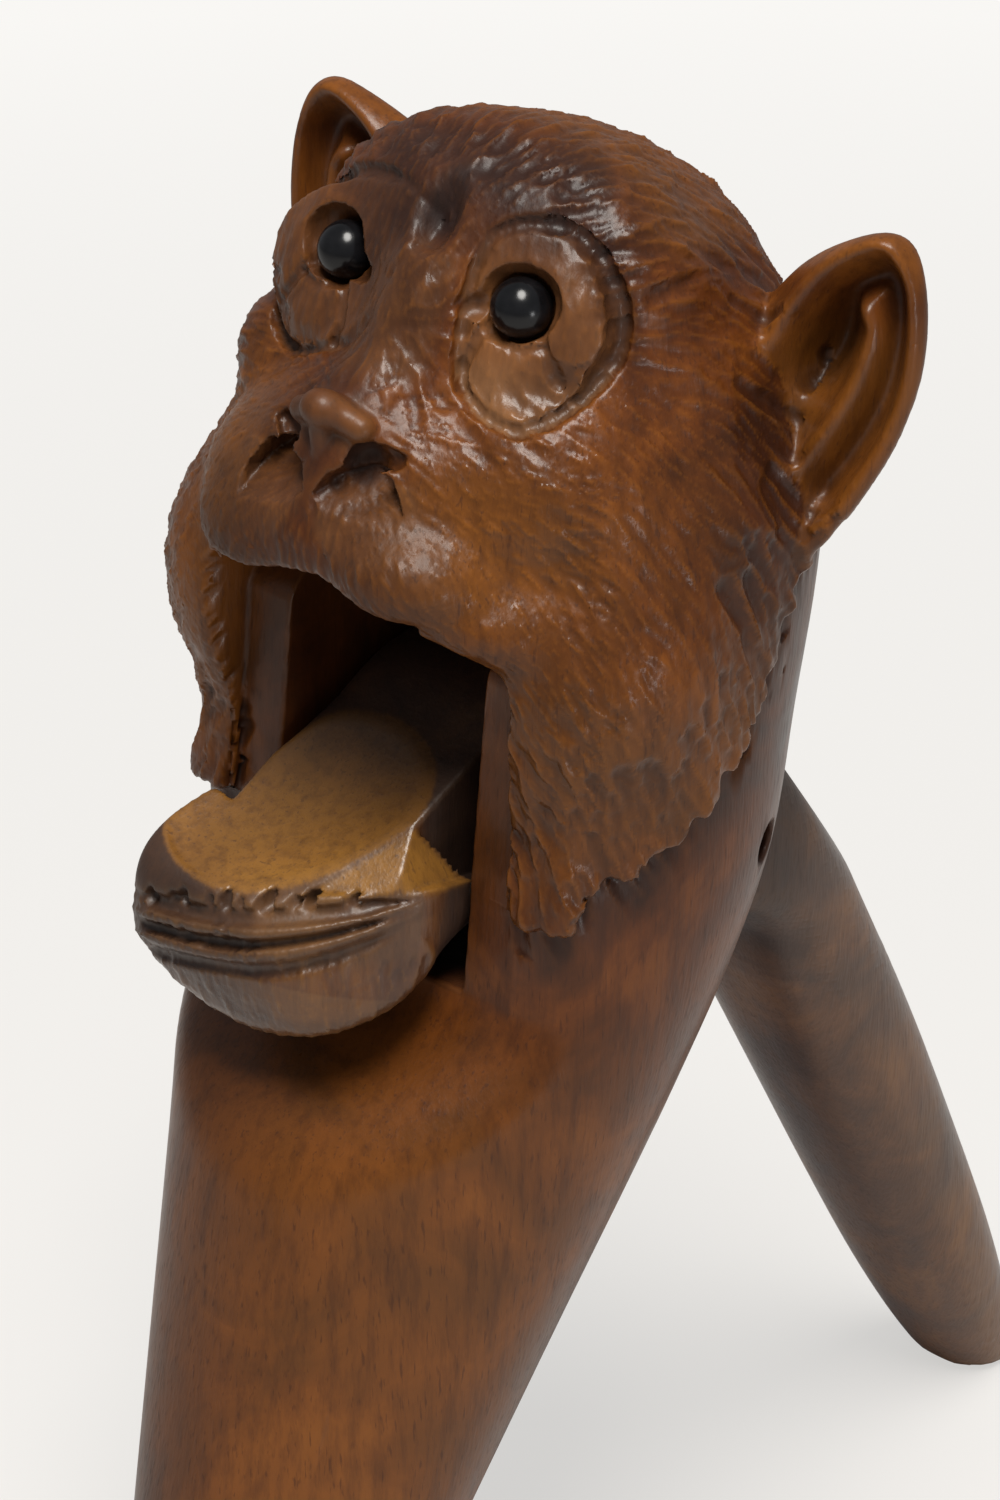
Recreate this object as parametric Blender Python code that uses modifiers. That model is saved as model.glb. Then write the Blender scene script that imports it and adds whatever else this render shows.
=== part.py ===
"""Carved figural nutcracker: a monkey's head on a grip, with a levered lower jaw.

Units are metres, +Z is up and the face looks towards -Y. The nutcracker stands on the tips of its two
grips with the mouth wide open. The head is modelled in its own frame, which leans back by HEAD_TILT:
x to the monkey's left, y to the back, z up the face. Run it with blender --background --python part.py.
"""
import math

import bmesh
import bpy
import numpy as np
from mathutils import Euler, Matrix, Vector

MM = 0.001
DEG = math.pi / 180.0

# Stance
PIN_HEIGHT = 110.5 * MM
HEAD_TILT = 11.7 * DEG
GRIP_LEAN = 11.6 * DEG
LEVER_LEAN = 39.5 * DEG
SWING = 40.0 * DEG

# Pivot, in the head's frame
PIN_BACK = -2.0 * MM
PIN_UP = 1.0 * MM
PIN_RADIUS = 1.75 * MM
PIN_HALF_LENGTH = 24.2 * MM

# Neck and front grip
NECK_RADIUS = 28.6 * MM
NECK_BACK = -14.0 * MM
NECK_TOP = 42.0 * MM
FUR_STANDS = 1.5 * MM
MANE_FOOT = -10.0 * MM
GRIP_FRONT_SHIFT = 1.6 * MM
GRIP_FOOT_RADIUS = 7.4 * MM

# Head
SKULL_HALF_WIDTH = 27.0 * MM
SKULL_REACH = 24.5 * MM
SKULL_RISE = 28.0 * MM
SKULL_BACK = -13.0 * MM
SKULL_UP = 41.0 * MM
BROW_HALF_WIDTH = 21.0 * MM
BROW_REACH = 13.0 * MM
BROW_RISE = 12.0 * MM
BROW_BACK = -23.0 * MM
BROW_UP = 57.0 * MM
MUZZLE_HALF_WIDTH = 24.5 * MM
MUZZLE_REACH = 18.5 * MM
MUZZLE_RISE = 14.5 * MM
MUZZLE_BACK = -28.5 * MM
MUZZLE_UP = 30.0 * MM
CHEEK_RADIUS = 12.3 * MM
CHEEK_RISE = 16.0 * MM
CHEEK_SIDE = 19.0 * MM
CHEEK_BACK = -24.0 * MM
CHEEK_UP = 20.0 * MM
JOWL_RADIUS = 15.5 * MM
JOWL_RISE = 22.0 * MM
JOWL_SIDE = 14.7 * MM
JOWL_BACK = -18.5 * MM
JOWL_UP = 9.0 * MM
CHEEKBONE_RADIUS = 12.0 * MM
CHEEKBONE_SIDE = 17.5 * MM
CHEEKBONE_BACK = -22.0 * MM
CHEEKBONE_UP = 38.0 * MM
NOSE_HALF_WIDTH = 7.0 * MM
NOSE_REACH = 5.5 * MM
NOSE_BACK = -42.4 * MM
NOSE_UP = 40.8 * MM
BRIDGE_RADIUS = 5.5 * MM
BRIDGE_RISE = 11.0 * MM
BRIDGE_BACK = -34.0 * MM
BRIDGE_UP = 50.0 * MM

# Eyes
EYE_RADIUS = 2.9 * MM
EYE_SIDE = 11.1 * MM
EYE_BACK = -32.9 * MM
EYE_UP = 53.6 * MM
EYE_RING_RADIUS = 7.0 * MM
EYE_RING_THICKNESS = 2.2 * MM
EYE_RING_SIDE = 12.3 * MM
EYE_RING_BACK = -33.6 * MM
EYE_RING_UP = 52.0 * MM
EYE_RING_OUTWARD = 0.35
EYE_RING_UPWARD = 0.1
EYE_HOLLOW_DEPTH = 5.5 * MM
EYE_WIRE_RADIUS = 0.5 * MM
EYE_WIRE_LENGTH = 8.0 * MM

# Ears
EAR_HALF_WIDTH = 9.6 * MM
EAR_HALF_HEIGHT = 18.2 * MM
EAR_HALF_THICKNESS = 3.6 * MM
EAR_SIDE = 29.3 * MM
EAR_BACK = -9.6 * MM
EAR_UP = 47.0 * MM
EAR_TURN = 12.0 * DEG
EAR_SPREAD = 9.0 * DEG
EAR_RIM = 2.6 * MM
EAR_CUP_DEPTH = 4.7 * MM
EAR_ROOT_RADIUS = 6.0 * MM
EAR_ROOT_RISE = 11.0 * MM
EAR_ROOT_SIDE = 24.0 * MM
EAR_ROOT_BACK = -7.0 * MM
EAR_ROOT_UP = 50.0 * MM

# Mouth and slot
SLOT_HALF_WIDTH = 12.9 * MM
SLOT_CLEARANCE = 1.1 * MM
SLOT_FLOOR_SLACK = 3.3 * MM
SLOT_FLOOR_BACK_SHARE = 0.5
PALATE_BACK_SHARE = 0.25
STOP_GAP = 0.5 * MM
MOUTH_HALF_WIDTH = 18.5 * MM
MOUTH_ARCH = 26.0 * MM
MOUTH_SQUARENESS = 4.0
MOUTH_BACK = -30.4 * MM
MOUTH_LEAN = 5.5 * DEG
MOUTH_FLOOR = -14.0 * MM
PALATE_UP = 25.2 * MM
THROAT_DEPTH = 30.0 * MM
THROAT_SOFTNESS = 4.0 * MM

# Jaw lever
JAW_REACH = 45.5 * MM
JAW_HALF_WIDTH = 15.0 * MM
LEVER_HALF_WIDTH = 11.9 * MM
CRANK_SIZE = 26.0 * MM
CRANK_OFFSET = 15.4 * MM
REAR_GRIP_HALF_WIDTH = 10.3 * MM
REAR_GRIP_HALF_DEPTH = 8.2 * MM
SEAT_RADIUS = 22.0 * MM
SEAT_DEPTH = 3.0 * MM
SEAT_SLOPE = 38.0 * DEG
SEAT_BACK_SHARE = -0.80
SEAT_UP_SHARE = 0.032

# Fits and mesh
RUNNING_GAP = 0.3 * MM
OVERRUN = 30.0 * MM
VOXEL = 1.25 * MM
FACES_KEPT_SHARE = 0.11
SMOOTH_STEPS = 4
RING_POINTS = 28
ROUND_SIDES = 32
ROUND = 2.0

# Neck sections above the head frame's origin: height as a share of the neck's top, radius as a share of its own
NECK_TOP_SHARES = [(1.2, 0.8), (1.0, 0.96), (0.66, 1.0), (0.33, 1.0)]

# Neck and grip sections: level down the grip, as a share of its length, and radius, as a share of the neck's
NECK_SHARES = [(0.0, 1.0), (0.1, 0.965), (0.21, 0.89), (0.3, 0.825), (0.45, 0.715), (0.66, 0.567),
               (0.83, 0.44), (0.94, 0.35)]

# Foot sections: level as a share of the grip's length, radius as a share of the foot's
FOOT_SHARES = [(0.99, 0.96), (1.03, 0.62)]

# The edge of the fur against the smooth neck, seen from the side: back and up as shares of the neck's radius
RUFF_SHARES = [(0.49, 1.294), (0.07, 1.241), (-0.175, 1.189), (-0.322, 1.014), (-0.402, 0.699), (-0.556, 0.455),
               (-0.717, 0.259), (-0.892, 0.112), (-1.031, 0.0), (-1.119, -0.122)]

# Jaw outline from the lip to the slot, as shares of the jaw's reach: top back, top up, bottom back, bottom up;
# then the half width as a share of the jaw's, and how square the section is above and below
JAW_SHARES = [
    (-1.035, -0.200, -1.018, -0.300, 0.52, 2.4, 2.0),
    (-1.018, -0.140, -0.985, -0.400, 0.86, 3.0, 1.8),
    (-0.945, -0.085, -0.920, -0.460, 1.00, 4.0, 1.7),
    (-0.835, 0.001, -0.800, -0.400, 0.87, 5.0, 2.0),
    (-0.725, 0.088, -0.680, -0.270, 0.79, 7.0, 3.0),
]

# Crank outline through the slot, as shares of the crank's size from the pin, with the half width as a share of
# the lever's
CRANK_SHARES = [
    (-0.960, 0.290, -0.870, -0.400, 1.00, 7.0, 4.0),
    (-0.690, 0.500, -0.540, -0.423, 1.00, 7.0, 4.5),
    (-0.230, 0.615, -0.150, -0.440, 1.00, 6.0, 5.0),
    (0.310, 0.500, 0.230, -0.500, 1.00, 5.0, 5.0),
    (0.740, 0.250, 0.530, -0.635, 1.00, 4.5, 4.5),
]

# Rear grip: place along it as a share of its length, half depth and half width as shares, squareness
REAR_GRIP_SHARES = [
    (0.245, 1.02, 1.10, 3.6), (0.33, 1.00, 1.05, 3.0), (0.50, 1.00, 1.00, 2.6), (0.67, 0.95, 0.95, 2.5),
    (0.80, 0.88, 0.90, 2.4), (0.90, 0.77, 0.80, 2.4), (0.97, 0.63, 0.68, 2.3), (1.03, 0.46, 0.52, 2.2),
]

# Slot roof behind the mouth, as shares of the crank's size from the pin
SLOT_ROOF_SHARES = [(-0.10, 0.93), (0.22, 0.76)]


def clear_scene():
    for thing in list(bpy.data.objects):
        bpy.data.objects.remove(thing, do_unlink=True)
    for group in list(bpy.data.collections):
        bpy.data.collections.remove(group)


def new_collection(name):
    group = bpy.data.collections.new(name)
    bpy.context.scene.collection.children.link(group)
    return group


def wood(name, colour, roughness):
    return plain_material(name, colour, roughness, 0.0)


def plain_material(name, colour, roughness, metallic):
    material = bpy.data.materials.new(name)
    material.use_nodes = True
    shader = material.node_tree.nodes["Principled BSDF"]
    shader.inputs["Base Color"].default_value = (*colour, 1.0)
    shader.inputs["Roughness"].default_value = roughness
    shader.inputs["Metallic"].default_value = metallic
    material.diffuse_color = (*colour, 1.0)
    return material


def mesh_object(name, bm, group, parent=None, material=None):
    bmesh.ops.recalc_face_normals(bm, faces=bm.faces)
    mesh = bpy.data.meshes.new(name)
    bm.to_mesh(mesh)
    bm.free()
    thing = bpy.data.objects.new(name, mesh)
    group.objects.link(thing)
    thing.parent = parent
    if material:
        mesh.materials.append(material)
    return thing


def make_cutter(thing):
    thing.hide_render = True
    thing.display_type = "WIRE"
    return thing


def add_ellipsoid(bm, centre, radii, turn=(0.0, 0.0, 0.0)):
    matrix = Matrix.Translation(centre) @ Euler(turn).to_matrix().to_4x4() @ Matrix.Diagonal((*radii, 1.0))
    bmesh.ops.create_icosphere(bm, subdivisions=4, radius=1.0, matrix=matrix)


def add_rod(bm, start, end, radius):
    axis = Vector(end) - Vector(start)
    middle = (Vector(start) + Vector(end)) / 2
    matrix = Matrix.Translation(middle) @ axis.to_track_quat("Z", "Y").to_matrix().to_4x4()
    bmesh.ops.create_cone(bm, cap_ends=True, segments=ROUND_SIDES, radius1=radius, radius2=radius,
                          depth=axis.length, matrix=matrix)


def skin_between(bm, one, two):
    """Faces from one closed row of points to the next."""
    for i in range(len(one)):
        j = (i + 1) % len(one)
        bm.faces.new((one[i], one[j], two[j], two[i]))


def add_ring(bm, centre, ring_radius, thickness, facing):
    """A round ring whose axis points along facing."""
    place = Matrix.Translation(centre) @ Vector(facing).to_track_quat("Z", "Y").to_matrix().to_4x4()
    rows = []
    for turn in np.linspace(0, 2 * math.pi, ROUND_SIDES, endpoint=False):
        turned = place @ Matrix.Rotation(turn, 4, "Z")
        rows.append([bm.verts.new(turned @ Vector((ring_radius + thickness * math.cos(angle), 0,
                                                   thickness * math.sin(angle))))
                     for angle in np.linspace(0, 2 * math.pi, ROUND_SIDES // 2, endpoint=False)])
    for one, two in zip(rows, rows[1:] + rows[:1]):
        skin_between(bm, one, two)


def add_loft(bm, rings):
    """Skins a row of closed rings and closes both ends."""
    rows = [[bm.verts.new(point) for point in ring] for ring in rings]
    for one, two in zip(rows, rows[1:]):
        skin_between(bm, one, two)
    bm.faces.new(rows[0])
    bm.faces.new(rows[-1])


def add_prism(bm, outline, half_width):
    """An outline of (back, up) points, given its thickness across x."""
    add_loft(bm, [[Vector((side * half_width, back, up)) for back, up in outline] for side in (-1, 1)])


def rounded_ring(centre, across, along, squareness):
    """A superellipse in the plane of two half axes, as square above as below or each its own."""
    above, below = squareness if isinstance(squareness, tuple) else (squareness, squareness)
    ring = []
    for i in range(RING_POINTS):
        angle = 2 * math.pi * i / RING_POINTS
        c, s = math.cos(angle), math.sin(angle)
        power = 2 / (above if s >= 0 else below)
        share_across = math.copysign(abs(c) ** power, c)
        share_along = math.copysign(abs(s) ** power, s)
        ring.append(Vector(centre) + Vector(across) * share_across + Vector(along) * share_along)
    return ring


def smooth_rows(rows, steps=3):
    """Rows of numbers, with rows added between them along a Catmull-Rom curve."""
    rows = np.array(rows, dtype=float)
    padded = np.vstack([2 * rows[0] - rows[1], rows, 2 * rows[-1] - rows[-2]])
    out = []
    for i in range(1, len(padded) - 2):
        before, start, end, after = padded[i - 1:i + 3]
        for step in range(steps):
            t = step / steps
            out.append(0.5 * (2 * start + (end - before) * t + (2 * before - 5 * start + 4 * end - after) * t ** 2
                              + (3 * start - before - 3 * end + after) * t ** 3))
    out.append(rows[-1])
    return out


def cut(target, cutter):
    modifier = target.modifiers.new("cut_" + cutter.name, "BOOLEAN")
    modifier.operation = "DIFFERENCE"
    modifier.solver = "EXACT"
    modifier.object = cutter


def remesh(target, name):
    modifier = target.modifiers.new(name, "REMESH")
    modifier.mode = "VOXEL"
    modifier.voxel_size = VOXEL


def finish_carving(head):
    """Softens the edges of the carved hollows and thins the mesh before the crisp cuts."""
    remesh(head, "even_mesh")
    soften = head.modifiers.new("soften", "SMOOTH")
    soften.factor = 0.5
    soften.iterations = SMOOTH_STEPS
    thin = head.modifiers.new("fewer_faces", "DECIMATE")
    thin.ratio = FACES_KEPT_SHARE


def grip_drop():
    """How far below the pin's level, along the head's z, the front grip's centre line meets the ground."""
    pin_rise = PIN_BACK * -math.sin(HEAD_TILT) + PIN_UP * math.cos(HEAD_TILT)
    line_rise = -(NECK_BACK + GRIP_FRONT_SHIFT) * math.sin(HEAD_TILT)
    fall = math.cos(HEAD_TILT) - math.tan(GRIP_LEAN) * math.sin(HEAD_TILT)
    return (PIN_HEIGHT - pin_rise + line_rise) / fall


def rear_grip_length():
    """From the foot of the perpendicular from the pin, along the rear grip's centre line, to the ground."""
    lean = LEVER_LEAN - HEAD_TILT
    return (PIN_HEIGHT + CRANK_OFFSET * math.sin(lean)) / math.cos(lean)


def neck_rings(stands=0.0):
    """Rings down the neck and the front grip, each standing out from the wood by the same amount."""
    drop = grip_drop()
    rows = []
    for height_share, radius_share in NECK_TOP_SHARES:
        rows.append((NECK_TOP * height_share, NECK_BACK, NECK_RADIUS * radius_share))
    for level_share, radius_share in NECK_SHARES:
        level = drop * level_share
        rows.append((-level, grip_line(level), NECK_RADIUS * radius_share))
    for level_share, radius_share in FOOT_SHARES:
        level = drop * level_share
        rows.append((-level, grip_line(level), GRIP_FOOT_RADIUS * radius_share))
    rings = []
    for up, back, radius in smooth_rows(rows):
        reach = radius + stands
        ring = rounded_ring((0, back, up), (reach, 0, 0), (0, reach, 0), ROUND)
        limit = front_limit(up, back - radius) - stands
        for point in ring:
            gap = point.y - limit
            point.y = (point.y + limit + math.hypot(gap, THROAT_SOFTNESS)) / 2
        rings.append(ring)
    return rings


def grip_line(level):
    """Where the grip's centre line is at a level below the head frame's origin."""
    eased = min(level / (grip_drop() * NECK_SHARES[2][0]), 1.0)
    return NECK_BACK + eased * GRIP_FRONT_SHIFT - math.tan(GRIP_LEAN) * level


def mouth_plane(up):
    """Where the flat front of the mouth lies at a height."""
    return MOUTH_BACK - up * math.tan(MOUTH_LEAN)


def front_limit(up, round_front):
    """How far forward the neck may come: to the mouth's plane, easing out to the round grip below it."""
    past = min(max((MOUTH_FLOOR - up) / THROAT_DEPTH, 0.0), 1.0)
    eased = past * past * (3 - 2 * past)
    free = round_front - THROAT_SOFTNESS * 2
    return mouth_plane(max(up, MOUTH_FLOOR)) * (1 - eased) + free * eased


def applied(thing):
    """The mesh of an object with its modifiers done."""
    graph = bpy.context.evaluated_depsgraph_get()
    return bpy.data.meshes.new_from_object(thing.evaluated_get(graph))


def build_mane(head_frame, tools):
    """The furry part of the head, cut off along the ruff, where the smooth neck begins a step lower."""
    bm = bmesh.new()
    add_loft(bm, [ring for ring in neck_rings(FUR_STANDS) if ring[0].z > MANE_FOOT])
    add_ellipsoid(bm, (0, SKULL_BACK, SKULL_UP), (SKULL_HALF_WIDTH, SKULL_REACH, SKULL_RISE))
    add_ellipsoid(bm, (0, BROW_BACK, BROW_UP), (BROW_HALF_WIDTH, BROW_REACH, BROW_RISE))
    add_ellipsoid(bm, (0, MUZZLE_BACK, MUZZLE_UP), (MUZZLE_HALF_WIDTH, MUZZLE_REACH, MUZZLE_RISE))
    for side in (-1, 1):
        add_ellipsoid(bm, (side * CHEEK_SIDE, CHEEK_BACK, CHEEK_UP), (CHEEK_RADIUS, CHEEK_RADIUS, CHEEK_RISE))
        add_ellipsoid(bm, (side * CHEEKBONE_SIDE, CHEEKBONE_BACK, CHEEKBONE_UP), (CHEEKBONE_RADIUS,) * 3)
        add_ellipsoid(bm, (side * JOWL_SIDE, JOWL_BACK, JOWL_UP), (JOWL_RADIUS, JOWL_RADIUS, JOWL_RISE))
    mane = make_cutter(mesh_object("mane", bm, tools, head_frame))
    remesh(mane, "one_mane")
    front, behind = -JAW_REACH - OVERRUN, NECK_RADIUS + OVERRUN
    ruff = [(back * NECK_RADIUS, up * NECK_RADIUS) for back, up in RUFF_SHARES]
    outline = [(behind, ruff[0][1])] + ruff + [(front, ruff[-1][1]), (front, -grip_drop()), (behind, -grip_drop())]
    below = bmesh.new()
    add_prism(below, outline, NECK_RADIUS + OVERRUN)
    cut(mane, make_cutter(mesh_object("below_ruff", below, tools, head_frame)))
    bpy.context.view_layer.update()
    return applied(mane)


def build_block(head_frame, parts, tools, material):
    """Head, ears and front grip before the mouth and the holes are cut."""
    bm = bmesh.new()
    bm.from_mesh(build_mane(head_frame, tools))
    add_loft(bm, neck_rings())
    add_ellipsoid(bm, (0, NOSE_BACK, NOSE_UP), (NOSE_HALF_WIDTH, NOSE_REACH, NOSE_REACH))
    add_ellipsoid(bm, (0, BRIDGE_BACK, BRIDGE_UP), (BRIDGE_RADIUS, BRIDGE_RADIUS, BRIDGE_RISE))
    for side in (-1, 1):
        ear_size = (EAR_HALF_WIDTH, EAR_HALF_THICKNESS, EAR_HALF_HEIGHT)
        turn = (0.0, side * EAR_SPREAD, side * EAR_TURN)
        add_ellipsoid(bm, (side * EAR_SIDE, EAR_BACK, EAR_UP), ear_size, turn)
        add_ellipsoid(bm, (side * EAR_ROOT_SIDE, EAR_ROOT_BACK, EAR_ROOT_UP),
                      (EAR_ROOT_RADIUS, EAR_ROOT_RADIUS, EAR_ROOT_RISE))
        add_ring(bm, (side * EYE_RING_SIDE, EYE_RING_BACK, EYE_RING_UP), EYE_RING_RADIUS, EYE_RING_THICKNESS,
                 (side * EYE_RING_OUTWARD, -1.0, EYE_RING_UPWARD))
    blank = mesh_object("head_handle", bm, parts, head_frame, material)
    remesh(blank, "one_block")
    return blank


def lever_rows():
    """Top and bottom outline points, half width and squareness, from the lip to the foot."""
    rows = []
    for top_back, top_up, low_back, low_up, width_share, above, below in JAW_SHARES:
        rows.append((top_back * JAW_REACH, top_up * JAW_REACH, low_back * JAW_REACH, low_up * JAW_REACH,
                     width_share * JAW_HALF_WIDTH, above, below))
    for top_back, top_up, low_back, low_up, width_share, above, below in CRANK_SHARES:
        rows.append((PIN_BACK + top_back * CRANK_SIZE, PIN_UP + top_up * CRANK_SIZE,
                     PIN_BACK + low_back * CRANK_SIZE, PIN_UP + low_up * CRANK_SIZE,
                     width_share * LEVER_HALF_WIDTH, above, below))
    length = rear_grip_length()
    along = Vector((math.sin(LEVER_LEAN), -math.cos(LEVER_LEAN)))
    outward = Vector((math.cos(LEVER_LEAN), math.sin(LEVER_LEAN)))
    for place_share, depth_share, width_share, square in REAR_GRIP_SHARES:
        centre = Vector((PIN_BACK, PIN_UP)) + outward * CRANK_OFFSET + along * (length * place_share)
        top = centre + outward * (REAR_GRIP_HALF_DEPTH * depth_share)
        low = centre - outward * (REAR_GRIP_HALF_DEPTH * depth_share)
        rows.append((*top, *low, REAR_GRIP_HALF_WIDTH * width_share, square, square))
    return rows


def swung(back, up):
    """Where a point of the lever goes, in the head's frame, when the jaw is closed."""
    arm = Vector((back - PIN_BACK, up - PIN_UP))
    turned = Matrix.Rotation(-SWING, 2) @ arm
    return PIN_BACK + turned.x, PIN_UP + turned.y


def slot_outline():
    """The slot from the mouth to the nape, clear of the lever from open to closed."""
    rows = lever_rows()
    front = -JAW_REACH - OVERRUN
    crank_start = len(JAW_SHARES)
    floor = [(front, MOUTH_FLOOR), (PIN_BACK - CRANK_SIZE * SLOT_FLOOR_BACK_SHARE, MOUTH_FLOOR)]
    for row in rows[crank_start + 3:crank_start + 6]:
        back, up = swung(row[2], row[3])
        floor.append((back - SLOT_FLOOR_SLACK, up - SLOT_CLEARANCE))
    last = rows[crank_start + 6]
    back, up = swung(last[2], last[3])
    floor.append((back, up))
    behind = (NECK_RADIUS + OVERRUN, up)
    roof = []
    for row in (rows[crank_start + 4], rows[crank_start + 3]):
        roof.append((row[0] + STOP_GAP, row[1] + STOP_GAP))
    slope = (roof[0][1] - roof[1][1]) / (roof[0][0] - roof[1][0])
    exit_back = NECK_RADIUS + OVERRUN
    roof.insert(0, (exit_back, roof[0][1] + slope * (exit_back - roof[0][0])))
    for back_share, up_share in reversed(SLOT_ROOF_SHARES):
        roof.append((PIN_BACK + back_share * CRANK_SIZE, PIN_UP + up_share * CRANK_SIZE))
    return floor + [behind] + roof + [(front, PALATE_UP)]


def build_mouth_cutters(head_frame, tools):
    slot = bmesh.new()
    outline = slot_outline()
    palate_back = PIN_BACK - CRANK_SIZE * PALATE_BACK_SHARE
    outline.insert(len(outline) - 1, (palate_back, PALATE_UP))
    add_prism(slot, outline, SLOT_HALF_WIDTH)
    mouth = bmesh.new()
    rings = []
    for depth_share in (1.0, 0.0):
        ring = []
        half = [(math.cos(angle), math.sin(angle)) for angle in np.linspace(0, math.pi, RING_POINTS)]
        power = 2 / MOUTH_SQUARENESS
        arch = [(math.copysign(abs(c) ** power, c) * MOUTH_HALF_WIDTH, s ** power * MOUTH_ARCH) for c, s in half]
        for x, up in [(MOUTH_HALF_WIDTH, MOUTH_FLOOR)] + arch + [(-MOUTH_HALF_WIDTH, MOUTH_FLOOR)]:
            ring.append(Vector((x, mouth_plane(up) - depth_share * (JAW_REACH + OVERRUN), up)))
        rings.append(ring)
    add_loft(mouth, rings)
    return [make_cutter(mesh_object("mouth_cutter", mouth, tools, head_frame)),
            make_cutter(mesh_object("slot_cutter", slot, tools, head_frame))]


def build_pin(head_frame, parts, tools, material):
    bm = bmesh.new()
    add_rod(bm, (-PIN_HALF_LENGTH, 0, 0), (PIN_HALF_LENGTH, 0, 0), PIN_RADIUS)
    pin = mesh_object("pivot_pin", bm, parts, head_frame, material)
    pin.location = (0, PIN_BACK, PIN_UP)
    bore_mesh = bmesh.new()
    reach = NECK_RADIUS + OVERRUN
    add_rod(bore_mesh, (-reach, 0, 0), (reach, 0, 0), PIN_RADIUS + RUNNING_GAP)
    bore = make_cutter(mesh_object("bore_cutter", bore_mesh, tools, head_frame))
    bore.location = pin.location
    return pin, bore


def build_eyes(head_frame, parts, glass, wire):
    """The bead and the wire on each side."""
    for side, word in ((1, "left"), (-1, "right")):
        centre = Vector((side * EYE_SIDE, EYE_BACK, EYE_UP))
        bead = bmesh.new()
        bmesh.ops.create_icosphere(bead, subdivisions=3, radius=EYE_RADIUS)
        mesh_object(word + "_eye", bead, parts, head_frame, glass).location = centre
        stem = bmesh.new()
        start = EYE_RADIUS + RUNNING_GAP
        add_rod(stem, (0, start, 0), (0, start + EYE_WIRE_LENGTH, 0), EYE_WIRE_RADIUS)
        mesh_object(word + "_eye_wire", stem, parts, head_frame, wire).location = centre


def build_eye_cutters(head_frame, tools):
    """The open hollows inside the eye rings, and the seats and drill holes that hold bead and wire."""
    hollows = []
    holes = []
    for side, word in ((1, "left"), (-1, "right")):
        centre = Vector((side * EYE_SIDE, EYE_BACK, EYE_UP))
        seat = bmesh.new()
        add_ellipsoid(seat, centre, (EYE_RADIUS + RUNNING_GAP,) * 3)
        hollow = bmesh.new()
        inner_radius = EYE_RING_RADIUS - EYE_RING_THICKNESS
        add_ellipsoid(hollow, centre - Vector((0, EYE_RADIUS, 0)), (inner_radius, EYE_HOLLOW_DEPTH, inner_radius))
        drill = bmesh.new()
        add_rod(drill, centre, centre + Vector((0, EYE_RADIUS + 3 * RUNNING_GAP + EYE_WIRE_LENGTH, 0)),
                EYE_WIRE_RADIUS + RUNNING_GAP)
        hollows.append(make_cutter(mesh_object(word + "_eye_hollow", hollow, tools, head_frame)))
        holes.append(make_cutter(mesh_object(word + "_eye_seat", seat, tools, head_frame)))
        holes.append(make_cutter(mesh_object(word + "_eye_drill", drill, tools, head_frame)))
    return hollows, holes


def build_ear_cutters(head_frame, tools):
    cutters = []
    for side, word in ((1, "left"), (-1, "right")):
        turn = (0.0, side * EAR_SPREAD, side * EAR_TURN)
        forward = Euler(turn).to_matrix() @ Vector((side * EAR_RIM / 2, -EAR_HALF_THICKNESS, 0))
        cup = bmesh.new()
        add_ellipsoid(cup, Vector((side * EAR_SIDE, EAR_BACK, EAR_UP)) + forward,
                      (EAR_HALF_WIDTH - EAR_RIM, EAR_CUP_DEPTH, EAR_HALF_HEIGHT - EAR_RIM), turn)
        cutters.append(make_cutter(mesh_object(word + "_ear_cup", cup, tools, head_frame)))
    return cutters


def build_lever(pin_axis, parts, tools, material):
    rings = []
    for top_back, top_up, low_back, low_up, half_width, above, below in smooth_rows(lever_rows()):
        centre = ((top_back + low_back) / 2 - PIN_BACK, (top_up + low_up) / 2 - PIN_UP)
        along = ((top_back - low_back) / 2, (top_up - low_up) / 2)
        rings.append(rounded_ring((0, *centre), (half_width, 0, 0), (0, *along), (above, below)))
    bm = bmesh.new()
    add_loft(bm, rings)
    lever = mesh_object("jaw_lever", bm, parts, pin_axis, material)
    seat_mesh = bmesh.new()
    middle = Vector((0, JAW_REACH * SEAT_BACK_SHARE - PIN_BACK, JAW_REACH * SEAT_UP_SHARE - PIN_UP))
    rise = SEAT_RADIUS - SEAT_DEPTH
    normal = Vector((0, -math.sin(SEAT_SLOPE), math.cos(SEAT_SLOPE)))
    add_ellipsoid(seat_mesh, middle + normal * rise, (SEAT_RADIUS, SEAT_RADIUS, SEAT_RADIUS))
    seat = make_cutter(mesh_object("seat_cutter", seat_mesh, tools, pin_axis))
    cut(lever, seat)
    return lever


def build_ground(tools):
    bm = bmesh.new()
    size = PIN_HEIGHT * 4
    bmesh.ops.create_cube(bm, size=size, matrix=Matrix.Translation((0, 0, -size / 2)))
    return make_cutter(mesh_object("ground_cutter", bm, tools))


def centre_on_ground(root, parts):
    """Moves the whole nutcracker so that its box is centred over the origin."""
    graph = bpy.context.evaluated_depsgraph_get()
    backs = []
    for thing in parts.objects:
        evaluated = thing.evaluated_get(graph)
        backs += [(evaluated.matrix_world @ vert.co).y for vert in evaluated.data.vertices]
    root.location.y -= (min(backs) + max(backs)) / 2


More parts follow.
